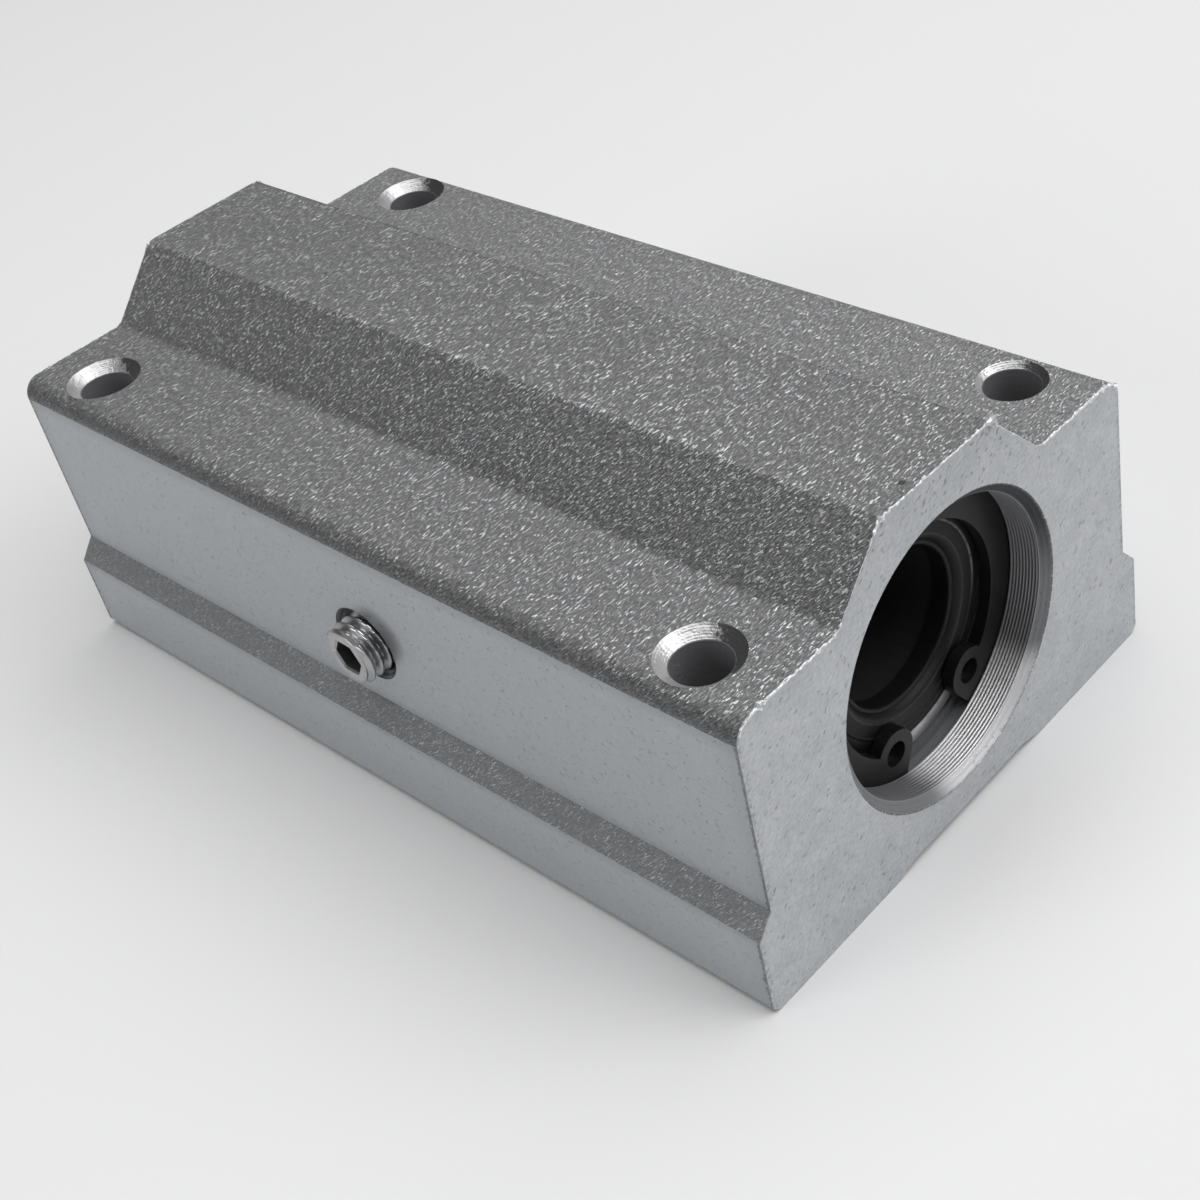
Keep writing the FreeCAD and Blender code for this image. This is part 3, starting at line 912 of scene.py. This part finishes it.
def make_piece(name: str, points: np.ndarray, faces: Sequence[Sequence[int]],
               material: bpy.types.Material, body: Body,
               crease: float) -> bpy.types.Object:
    """Make one piece from points in millimetres and let it ride on its body.

    Args:
        name: The piece's name.
        points: Its points, one row each.
        faces: Corners of each face.
        material: Its material.
        body: The body it moves with.
        crease: Edges that turn by more degrees than this stay sharp.

    Returns:
        The object, at the origin.
    """
    mesh = bpy.data.meshes.new(name)
    mesh.from_pydata((points * MM).tolist(), [], [list(face) for face in faces])
    mesh.validate()
    mesh.shade_smooth()
    mesh.set_sharp_from_angle(angle=math.radians(crease))
    mesh.materials.append(material)
    piece = bpy.data.objects.new(name, mesh)
    bpy.context.scene.collection.objects.link(piece)
    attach(piece, body.value)
    return piece


def capped(points: np.ndarray, columns: int) -> List[List[int]]:
    """Return the faces of a grid whose first and last rows are filled in.

    Args:
        points: The grid's points, row after row.
        columns: Points in a row.

    Returns:
        The point numbers of each face.
    """
    rows = len(points) // columns
    faces = grid_faces(rows, columns).tolist()
    faces.append(list(range(columns)))
    faces.append(list(range((rows - 1) * columns, rows * columns))[::-1])
    return faces


def around_shaft(profile: Sequence[Pair], columns: int) -> np.ndarray:
    """Carry a profile of (radius, y) pairs round the shaft axis.

    The point of row i at angle a is (radius_i cos a, y_i, radius_i sin a).

    Args:
        profile: The profile's corners.
        columns: Points in one turn.

    Returns:
        The points, row after row.
    """
    radius, y = np.array(profile, float).T
    angle = np.arange(columns) * FULL_TURN / columns
    x = radius[:, None] * np.cos(angle)
    z = radius[:, None] * np.sin(angle)
    return np.stack([x, np.broadcast_to(y[:, None], x.shape), z], axis=-1).reshape(-1, 3)


def closed_ring_faces(rows: int, columns: int) -> np.ndarray:
    """Return the faces of a closed profile carried once round.

    Args:
        rows: Corners of the profile.
        columns: Points in one turn.

    Returns:
        One row of four point numbers for each face.
    """
    row, column = np.meshgrid(np.arange(rows), np.arange(columns), indexing="ij")
    below, after = (row + 1) % rows, (column + 1) % columns
    corners = [row * columns + column, below * columns + column,
               below * columns + after, row * columns + after]
    return np.stack(corners, axis=-1).reshape(-1, 4)


def face_out(piece: bpy.types.Object) -> None:
    """Merge a closed piece's doubled points and turn every face outwards.

    Args:
        piece: The piece.
    """
    work = bmesh.new()
    work.from_mesh(piece.data)
    bmesh.ops.remove_doubles(work, verts=work.verts, dist=MERGE_METRES)
    bmesh.ops.recalc_face_normals(work, faces=work.faces)
    work.to_mesh(piece.data)
    work.free()


def dress(node: str, material: bpy.types.Material) -> None:
    """Give a node of the frame its material.

    Args:
        node: The node's name.
        material: Its material.
    """
    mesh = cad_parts[node].data
    mesh.materials.clear()
    mesh.materials.append(material)


def soften(node: str, name: str, material: bpy.types.Material,
           width: float) -> None:
    """Replace a node by a merged copy whose sharp edges are slightly rounded.

    Edges inside flat faces are dissolved first, so that the rounding doesn't
    follow them.

    Args:
        node: The node's name.
        name: The copy's name.
        material: Its material.
        width: The rounding's width in millimetres.
    """
    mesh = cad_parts[node].data.copy()
    mesh.materials.clear()
    mesh.materials.append(material)
    piece = bpy.data.objects.new(name, mesh)
    bpy.context.scene.collection.objects.link(piece)
    face_out(piece)
    work = bmesh.new()
    work.from_mesh(mesh)
    bmesh.ops.dissolve_limit(work, angle_limit=FLAT_ANGLE, verts=work.verts, edges=work.edges)
    work.to_mesh(mesh)
    work.free()
    mesh.shade_smooth()
    mesh.set_sharp_from_angle(angle=SHARP_ANGLE)
    bevel = piece.modifiers.new("rounding", "BEVEL")
    bevel.width, bevel.segments = width * MM, 2
    bevel.limit_method, bevel.angle_limit = "ANGLE", ROUNDED_ANGLE
    bevel.harden_normals = True
    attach(piece, Body.BLOCK.value)
    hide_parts(node)


# Sub-assemblies


@dataclass
class Housing:
    """The extruded block, the turned mouths of its bore and its countersinks.

    A turned surface is a thin closed ring. Its face stands a hair off the
    solid's own face and its back lies inside the solid.
    """

    finishes: Finishes
    lead_in_radius: float = 11.2
    mouth_bevel: float = 0.7
    wall_end: float = 3.15
    ring_pitch: float = 0.27
    ring_height: float = 0.045
    bevel_ring_share: float = 0.6
    lining_gap: float = 0.012
    face_gap: float = 0.004
    bore_back: float = 0.3
    hole_back: float = 0.25
    mouth_back: float = 0.05
    shoulder_z: float = 10.0
    hole_radius: float = 2.15
    countersink_radius: float = 3.05
    narrow_countersink_radius: float = 2.65
    shallow_depth: float = 0.75
    cutter_pitch: float = 0.13
    cutter_ring: float = 0.012
    tapped_x: float = -21.0
    tapped_radius: float = 2.55
    tapped_mouth_radius: float = 3.2
    tapped_back: float = 0.1
    tapped_mouth_back: float = 0.2
    tapped_pitch: float = 0.32
    tapped_ring: float = 0.03
    rows_per_ring: int = 8
    cone_rows: int = 41
    tapped_rows: int = 33
    bore_columns: int = 192
    hole_columns: int = 96
    crease: float = 60.0

    def build(self) -> None:
        """Dress the block and add its turned surfaces."""
        dress("housing", self.finishes.block)
        for end in End:
            self.bore_mouth(end)
            for side in Side:
                self.countersink(end, side)
        self.tapped_mouth()

    def lining(self, name: str, profile: np.ndarray, columns: int, axes: Tuple[int, int, int],
               centre: Tuple[float, float, float]) -> None:
        """Make one thin turned surface of the block from a closed profile.

        Args:
            name: The piece's name.
            profile: Closed row of (radius, place along the axis) pairs.
            columns: Points in one turn.
            axes: Which of the turned X, Y and Z become the block's.
            centre: Where the axis passes.
        """
        points = around_shaft(profile, columns)[:, axes] + np.array(centre)
        piece = make_piece(name, points, closed_ring_faces(len(profile), columns),
                           self.finishes.block, Body.BLOCK, self.crease)
        face_out(piece)

    def ridges(self, depth: np.ndarray, pitch: float, height: float) -> np.ndarray:
        """Return ring heights along a depth: a cosine wave raised to start at zero."""
        return height * (1 - np.cos(FULL_TURN * depth / pitch)) / 2

    def bore_mouth(self, end: End) -> None:
        """Make the turned mouth of the bore: a bevel, then fine rings.

        The wall's radius is the bore's, less the ring height; the bevel's is
        the same, plus its distance from its inner edge.

        Args:
            end: Which end of the block.
        """
        depth = np.arange(0.0, self.wall_end, self.ring_pitch / self.rows_per_ring)
        flare = np.clip(self.mouth_bevel - depth, 0, None)
        height = self.ring_height * np.where(flare > 0, self.bevel_ring_share, 1.0)
        radius = self.lead_in_radius - self.lining_gap - self.ridges(depth, self.ring_pitch, height)
        outline = np.stack([radius + flare, depth], axis=-1)
        back = [[radius[-1] + self.bore_back, depth[-1]],
                [self.lead_in_radius + self.bore_back, self.mouth_bevel]]
        profile = np.concatenate([outline, back])
        profile[:, 1] = end.value * (SIZES.half_length - profile[:, 1])
        self.lining(f"{end.word}_bore_mouth", profile, self.bore_columns, (0, 1, 2), (0, 0, 0))

    def countersink(self, end: End, side: Side) -> None:
        """Make one countersink's cone with its faint cutter rings.

        The front right one is narrower than the others and the front left one
        is shallower, as the solids have them.

        Args:
            end: Which end of the block.
            side: Which side.
        """
        narrow = end is End.FRONT and side is Side.RIGHT
        shallow = end is End.FRONT and side is Side.LEFT
        mouth = self.narrow_countersink_radius if narrow else self.countersink_radius
        full = self.shallow_depth if shallow else mouth - self.hole_radius
        depth = np.linspace(0.0, full, self.cone_rows)
        slant = (mouth - self.hole_radius) / full
        radius = mouth - depth * slant - self.lining_gap - self.ridges(
            depth, self.cutter_pitch, self.cutter_ring)
        outline = np.stack([radius, self.shoulder_z - self.face_gap - depth], axis=-1)
        back = [[radius[-1] + self.hole_back, outline[-1, 1]],
                [mouth + self.mouth_back, self.shoulder_z - self.hole_back]]
        self.lining(f"{end.word}_{side.word}_countersink", np.concatenate([outline, back]),
                    self.hole_columns, (0, 2, 1),
                    (side.value * SIZES.hole_x, end.value * SIZES.hole_y, 0.0))

    def tapped_mouth(self) -> None:
        """Make the mouth of the tapped hole, with the start of its thread."""
        depth = np.linspace(0.0, self.tapped_mouth_radius - self.tapped_radius, self.tapped_rows)
        radius = self.tapped_mouth_radius - depth - self.lining_gap - self.ridges(
            depth, self.tapped_pitch, self.tapped_ring)
        outline = np.stack([radius, self.tapped_x + self.face_gap + depth], axis=-1)
        back = [[radius[-1] + self.bore_back, outline[-1, 1] + self.tapped_back],
                [self.tapped_mouth_radius + self.mouth_back,
                 self.tapped_x + self.tapped_mouth_back]]
        self.lining("tapped_hole_mouth", np.concatenate([outline, back]), self.hole_columns,
                    (1, 0, 2), (0.0, SIZES.screw_y, SIZES.screw_z))


@dataclass
class Burr:
    """The torn lip that the end mill leaves along the top edges of one end.

    The corners are the block's outline, as (x, z) pairs from left to right.
    The weights are (distance from the middle, share of the lip) pairs.
    """

    finishes: Finishes
    end: End
    corners: Tuple[Pair, ...] = (
        (-20.95, 8.6), (-20.5, 9.55), (-19.4, 10.0), (-11.7, 10.0), (-10.9, 10.25),
        (-6.1, 15.2), (-5.7, 15.4), (5.7, 15.4), (6.1, 15.2), (10.9, 10.25), (11.7, 10.0),
        (19.4, 10.0), (20.5, 9.55), (20.95, 8.6))
    weights: Tuple[Pair, ...] = (
        (0.0, 0.7), (5.1, 0.9), (5.9, 2.4), (6.7, 0.45), (10.6, 0.3), (11.6, 1.0), (16.0, 1.2),
        (19.6, 1.5), (21.0, 0.8))
    thin: float = 0.085
    thick: float = 0.20
    rear_share: float = 0.5
    front_seed: int = 11
    rear_seed: int = 12
    step: float = 0.06
    waves: int = 24
    paces: Pair = (0.5, 14.0)
    tip_length: float = 0.8
    tip_share: float = 0.05
    flatness: float = 0.8
    lift: float = 0.03
    sink: float = 0.045
    sway: float = 0.025
    bite: float = 0.035
    columns: int = 8
    crease: float = 80.0

    def build(self) -> None:
        """Make the lip: a small circle carried along the edge.

        Its radius along the edge is a thin one plus the square of a sum of
        sine waves of mixed lengths, so that it swells here and there. Two more
        such sums lift it and sway it. The slopes keep little of it and their
        top corners most.
        """
        front = self.end is End.FRONT
        path = np.array(self.corners)
        lengths = np.concatenate([[0], np.cumsum(np.hypot(*np.diff(path, axis=0).T))])
        along = np.arange(0.0, lengths[-1], self.step)
        x = np.interp(along, lengths, path[:, 0])
        z = np.interp(along, lengths, path[:, 1])
        draw = np.random.default_rng(self.front_seed if front else self.rear_seed)
        pace = draw.uniform(*self.paces, self.waves)
        phase = draw.uniform(0, FULL_TURN, (3, self.waves))
        swell, sway, lift = (np.sin(along[:, None] * pace + row).sum(axis=1) / math.sqrt(self.waves)
                             for row in phase)
        to_tip = np.minimum(along, lengths[-1] - along)
        side, weight = np.array(self.weights).T
        share = np.clip(to_tip / self.tip_length, self.tip_share, 1)
        share = share * np.interp(np.abs(x), side, weight) * (1.0 if front else self.rear_share)
        size = (self.thin + self.thick * np.clip(swell * 0.5, 0, 1) ** 2) * share
        turn = np.arange(self.columns) * FULL_TURN / self.columns
        tangent = np.stack([np.gradient(x, along), np.gradient(z, along)], axis=-1)
        normal = np.stack([-tangent[:, 1], tangent[:, 0]], axis=-1)
        rise = self.lift * lift * share - self.sink
        swing = self.sway * sway * share - self.bite
        out = size[:, None] * np.cos(turn) + rise[:, None]
        forth = size[:, None] * np.sin(turn) * self.flatness + swing[:, None]
        points = np.stack([x[:, None] + out * normal[:, :1],
                           self.end.value * (SIZES.half_length + forth),
                           z[:, None] + out * normal[:, 1:]], axis=-1).reshape(-1, 3)
        piece = make_piece(f"{self.end.word}_edge_burr", points, capped(points, self.columns),
                           self.finishes.burr, Body.BLOCK, self.crease)
        face_out(piece)


@dataclass
class SetScrew:
    """The socket set screw with its real thread."""

    finishes: Finishes
    head_x: float = -22.8
    radius: float = 2.5
    length: float = 8.0
    pitch: float = 0.8
    thread_depth: float = 0.44
    root_half: float = 0.10
    flank: float = 0.34
    end_bevel: float = 0.28
    face_step: float = 0.02
    point_radius: float = 1.8
    point_cone: float = 0.5
    socket_flats: float = 2.5
    socket_depth: float = 2.4
    socket_cone: float = 0.45
    cone_shares: Tuple[float, ...] = (0.02, 0.5, 0.99)
    socket_turn: float = 0.50
    socket_bevel: float = 0.14
    columns: int = 96
    rows_per_pitch: int = 16
    crease: float = 40.0

    def socket_radius(self, angle: np.ndarray) -> np.ndarray:
        """Return the hexagon's radius: half the flats over the cosine from a flat's middle."""
        sixth = FULL_TURN / 6
        return self.socket_flats / 2 / np.cos((angle + sixth / 2) % sixth - sixth / 2)

    def thread_radius(self, along: np.ndarray, angle: np.ndarray) -> np.ndarray:
        """Return the thread's radius at a place along the screw and an angle.

        One turn moves the groove by one pitch. Across a pitch the groove is a
        vee with a flat root a fifth wide and a flat crest about an eighth wide.

        Args:
            along: Distance from the socket end.
            angle: Angle about the screw's axis.

        Returns:
            The radius at each angle.
        """
        turn = (along / self.pitch - angle / FULL_TURN) % 1.0
        vee = np.clip((np.abs(turn - 0.5) - self.root_half) / self.flank, 0, 1)
        thread = self.radius - self.thread_depth * (1 - vee)
        lead = self.radius - self.end_bevel + np.clip(along, 0, self.end_bevel)
        tip = self.point_radius + np.clip(self.length - along, 0, self.radius - self.point_radius)
        return np.minimum(np.minimum(thread, lead), tip)

    def build(self) -> None:
        """Make the screw as one skin of rows from socket floor to point.

        A row is a radius and a distance from the socket end at every angle.
        """
        angle = np.arange(self.columns) * FULL_TURN / self.columns
        hexagon = self.socket_radius(angle + self.socket_turn)
        zero = np.zeros(self.columns)
        rows = [(hexagon * share, zero + self.socket_depth + self.socket_cone * (1 - share))
                for share in self.cone_shares]
        rows.append((hexagon, zero + self.socket_depth))
        rows.append((hexagon, zero + self.socket_bevel))
        rows.append((hexagon + self.socket_bevel, zero))
        rows.append((self.thread_radius(zero, angle) - self.face_step, zero))
        for step in range(round(self.length / self.pitch) * self.rows_per_pitch + 1):
            along = zero + step * (self.pitch / self.rows_per_pitch)
            rows.append((self.thread_radius(along, angle), along))
        rows.append((zero + self.point_radius * self.point_cone, zero + self.length))
        radius = np.array([row[0] for row in rows])
        along = np.array([row[1] for row in rows])
        points = np.stack([self.head_x + along, SIZES.screw_y + radius * np.cos(angle),
                           SIZES.screw_z + radius * np.sin(angle)], axis=-1).reshape(-1, 3)
        piece = make_piece("socket_set_screw", points, capped(points, self.columns),
                           self.finishes.screw, Body.SCREW, self.crease)
        face_out(piece)
        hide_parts("set_screw")


@dataclass(frozen=True)
class SealShape:
    """The lip seal's section: radii, and drops behind its flat face."""

    outer_radius: float = 9.1
    outer_bevel: float = 0.12
    thickness: float = 2.0
    bead_radius: float = 8.1
    bead_half: float = 0.15
    bead_shoulder: float = 0.1
    bead_height: float = 0.1
    bead_shoulder_height: float = 0.07
    flat_radius: float = 7.05
    flare_radius: float = 6.95
    flare_run: float = 0.55
    flare_start: float = 0.02
    flare_drop: float = 0.5
    lip_radius: float = 6.26
    lip_half: float = 0.235
    lip_thickness: float = 0.2
    lip_drop: float = 0.62
    lip_start: float = 0.15
    opening_drop: float = 0.95
    flare_points: int = 13
    lip_points: int = 9

    def profile(self, face: float, opening: float) -> np.ndarray:
        """Return the closed section as (radius, y) pairs.

        The flat face sinks in a parabola to the lip, which is half a turn of
        an ellipse just outside the shaft. A bead stands on the flat face.

        Args:
            face: The flat face's place.
            opening: The opening's radius.

        Returns:
            One row for each corner.
        """
        sink = np.linspace(0, 1, self.flare_points)
        flare = np.stack([self.flare_radius - self.flare_run * sink,
                          face - self.flare_start - self.flare_drop * sink ** 2], axis=-1)
        turn = np.linspace(self.lip_start, 1.0, self.lip_points) * math.pi
        lip = np.stack([self.lip_radius + self.lip_half * np.cos(turn),
                        face - self.lip_drop + self.lip_thickness * np.sin(turn)], axis=-1)
        back, shoulder = face - self.thickness, face + self.bead_shoulder_height
        rim = [(opening, face - self.opening_drop), (opening, back), (self.outer_radius, back),
               (self.outer_radius, face - self.outer_bevel),
               (self.outer_radius - self.outer_bevel, face),
               (self.bead_radius + self.bead_half, face),
               (self.bead_radius + self.bead_shoulder, shoulder),
               (self.bead_radius, face + self.bead_height),
               (self.bead_radius - self.bead_shoulder, shoulder),
               (self.bead_radius - self.bead_half, face), (self.flat_radius, face)]
        return np.concatenate([flare, lip, np.array(rim)])


@dataclass
class Bushing:
    """One ball bushing with its seal and the retaining ring in front of it."""

    finishes: Finishes
    end: End
    seal_shape: SealShape = SealShape()
    centre: float = 18.7
    half_length: float = 16.0
    shaft_radius: float = 6.02
    seal_recess: float = 0.1
    seal_columns: int = 144
    seal_crease: float = 50.0
    ring_rounding: float = 0.13
    ball_radius: float = 1.19
    ball_gap: float = 0.005
    ball_count: int = 18
    ball_pitch: float = 2.55
    ball_columns: int = 12
    ball_rows: int = 7
    ball_crease: float = 80.0
    circuits: int = 4
    loaded_radius: float = 7.21
    return_radius: float = 7.90
    spread: float = 32.0
    first_angle: float = 45.0

    def build(self) -> None:
        """Dress the bushing's nodes and replace its ring, its balls and its seal."""
        prefix = f"{self.end.word}_bushing_"
        dress(prefix + "sleeve", self.finishes.sleeve)
        dress(prefix + "end_ring", self.finishes.sleeve)
        dress(prefix + "ball_cage", self.finishes.cage)
        soften(f"{self.end.word}_retaining_ring", f"{self.end.word}_snap_ring",
               self.finishes.ring, self.ring_rounding)
        for number in range(1, self.circuits + 1):
            self.balls(number)
        self.seal()

    def seal(self) -> None:
        """Make the seal: its section carried round the shaft."""
        profile = self.seal_shape.profile(self.half_length - self.seal_recess, self.shaft_radius)
        profile[:, 1] = self.end.value * (self.centre + profile[:, 1])
        piece = make_piece(f"{self.end.word}_lip_seal", around_shaft(profile, self.seal_columns),
                           closed_ring_faces(len(profile), self.seal_columns),
                           self.finishes.seal, Body.BLOCK, self.seal_crease)
        face_out(piece)
        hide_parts(f"{self.end.word}_bushing_seal")

    def ball_places(self) -> np.ndarray:
        """Return (radius, offset angle, y) of each ball along the closed loop.

        The loop is two straights joined by two half turns: loaded out, round,
        back along the return side, and round again.
        """
        middle = (self.loaded_radius + self.return_radius) / 2
        bend = math.radians(self.spread / 2) * middle
        straight = (self.ball_count * self.ball_pitch - FULL_TURN * bend) / 2
        half, arc = straight / 2, math.pi * bend
        travel = (np.arange(self.ball_count) * self.ball_pitch + half) % (2 * straight + 2 * arc)
        first, second = (travel - straight) / bend, (travel - 2 * straight - arc) / bend
        where = [travel <= straight, travel <= straight + arc, travel <= 2 * straight + arc]
        across = np.select(where, [0 * travel, bend * (1 - np.cos(first)), 2 * bend + 0 * travel],
                           bend * (1 + np.cos(second)))
        y = np.select(where, [travel - half, half + bend * np.sin(first),
                              half - (travel - straight - arc)],
                      -half - bend * np.sin(second))
        radius = np.where(where[0], self.loaded_radius, self.return_radius)
        return np.stack([radius, across / middle, y], axis=-1)

    def balls(self, number: int) -> None:
        """Make one circuit of smooth balls.

        A ball is a grid of angle round its pole line and angle from its pole.

        Args:
            number: The circuit, from 1.
        """
        swing = np.linspace(0, math.pi, self.ball_rows)
        turn = np.arange(self.ball_columns) * FULL_TURN / self.ball_columns
        shape = np.stack([
            np.cos(swing)[:, None] + 0 * turn,
            np.sin(swing)[:, None] * np.cos(turn),
            np.sin(swing)[:, None] * np.sin(turn)], axis=-1).reshape(-1, 3)
        radius, offset, y = self.ball_places().T
        angle = math.radians(self.first_angle) + FULL_TURN / self.circuits * (number - 1) + offset
        centres = np.stack([radius * np.cos(angle), self.end.value * (self.centre - y),
                            radius * np.sin(angle)], axis=-1)
        points = (centres[:, None, :] + shape * (self.ball_radius - self.ball_gap)).reshape(-1, 3)
        first = (np.arange(self.ball_count) * len(shape))[:, None, None]
        faces = (grid_faces(self.ball_rows, self.ball_columns)[None] + first).reshape(-1, 4)
        piece = make_piece(f"{self.end.word}_balls_{number}", points, faces,
                           self.finishes.balls, Body.BLOCK, self.ball_crease)
        face_out(piece)
        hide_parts(f"{self.end.word}_bushing_ball_circuit_{number}")


# Studio


@dataclass
class Lamp:
    """A soft box: its place, size and power, and whether it shows in shiny faces."""

    name: str
    place: Tuple[float, float, float]
    size: float
    power: float
    shines: bool = True


@dataclass
class Studio:
    """Pale floor, soft lamps and the camera. Lengths are metres here."""

    floor_z: float = -0.0149
    floor_half: float = 6.0
    floor_tone: Colour = (0.78, 0.78, 0.785)
    floor_cloud: Colour = (0.74, 0.74, 0.745)
    floor_roughness: float = 0.75
    world_tone: Colour = (1.0, 1.0, 1.0)
    world_level: float = 0.17
    lamps: Tuple[Lamp, ...] = (
        Lamp("overhead_box", (0.14, -0.10, 0.70), 1.10, 6.6),
        Lamp("front_right_box", (0.34, -0.50, 0.44), 0.45, 1.3),
        Lamp("left_rear_box", (-0.62, 0.22, 0.24), 0.36, 1.3, False),
    )
    eye: Tuple[float, float, float] = (-0.074727, -0.100118, 0.085250)
    aim: Tuple[float, float, float] = (0.006873, -0.013594, -0.006880)
    roll: float = 10.4917
    focal_pixels: float = 1889.91
    principal: Pair = (751.45, 557.76)
    clip: Pair = (0.005, 20.0)

    def build(self) -> None:
        """Make the floor, the world, the lamps and the camera."""
        self.floor()
        self.world()
        for lamp in self.lamps:
            self.lamp(lamp)
        self.camera()
        bpy.context.scene.view_settings.view_transform = "Standard"

    def floor(self) -> None:
        """Lay the floor that the block rests on."""
        shader = Shader("pale_floor")
        x, y, z = shader.place()
        cloud = shader.noise(shader.vector(x, y, z), 0.01, 2.0, 0.5)
        tone = shader.mix(cloud * 0.1, self.floor_tone, self.floor_cloud)
        material = shader.finish(tone, self.floor_roughness)
        half, level = self.floor_half, self.floor_z
        mesh = bpy.data.meshes.new("floor")
        mesh.from_pydata([(-half, -half, level), (half, -half, level), (half, half, level),
                          (-half, half, level)], [], [(0, 1, 2, 3)])
        mesh.materials.append(material)
        floor = bpy.data.objects.new("floor", mesh)
        bpy.context.scene.collection.objects.link(floor)
        floor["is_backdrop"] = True

    def world(self) -> None:
        """Set an even pale surround."""
        world = bpy.data.worlds.new("studio")
        world.use_nodes = True
        background = world.node_tree.nodes["Background"]
        background.inputs["Color"].default_value = (*self.world_tone, 1.0)
        background.inputs["Strength"].default_value = self.world_level
        bpy.context.scene.world = world

    def lamp(self, lamp: Lamp) -> None:
        """Hang one soft box, pointed at the block.

        Args:
            lamp: What and where.
        """
        light = bpy.data.lights.new(lamp.name, "AREA")
        light.shape = "SQUARE"
        light.size = lamp.size
        light.energy = lamp.power
        made = bpy.data.objects.new(lamp.name, light)
        made.location = lamp.place
        made.rotation_euler = (-Vector(lamp.place)).to_track_quat("-Z", "Y").to_euler()
        made.visible_glossy = lamp.shines
        bpy.context.scene.collection.objects.link(made)

    def camera(self) -> None:
        """Place the camera where the photograph was taken from."""
        data = bpy.data.cameras.new("camera")
        data.sensor_width = SENSOR_WIDTH
        data.lens = self.focal_pixels / IMAGE_SIDE * SENSOR_WIDTH
        data.shift_x = 0.5 - self.principal[0] / IMAGE_SIDE
        data.shift_y = self.principal[1] / IMAGE_SIDE - 0.5
        data.clip_start, data.clip_end = self.clip
        eye, aim = Vector(self.eye), Vector(self.aim)
        ahead = (aim - eye).normalized()
        level = ahead.cross(Vector((0, 0, 1))).normalized()
        upright = level.cross(ahead)
        roll = math.radians(self.roll)
        up = upright * math.cos(roll) + level * math.sin(roll)
        right = ahead.cross(up)
        turn = Matrix((right, up, -ahead)).transposed()
        camera = bpy.data.objects.new("camera", data)
        camera.matrix_world = Matrix.Translation(eye) @ turn.to_4x4()
        bpy.context.scene.collection.objects.link(camera)
        bpy.context.scene.camera = camera


def main() -> None:
    """Build everything in order."""
    logging.basicConfig(level=logging.INFO, format="%(name)s: %(message)s")
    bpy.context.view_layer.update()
    finishes = Finishes()
    Studio().build()
    Housing(finishes).build()
    SetScrew(finishes).build()
    for end in End:
        Burr(finishes, end).build()
        Bushing(finishes, end).build()
    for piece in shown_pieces():
        LOG.info("%s: %d faces", piece.name, len(piece.data.polygons))


if __name__ == "__main__":
    main()
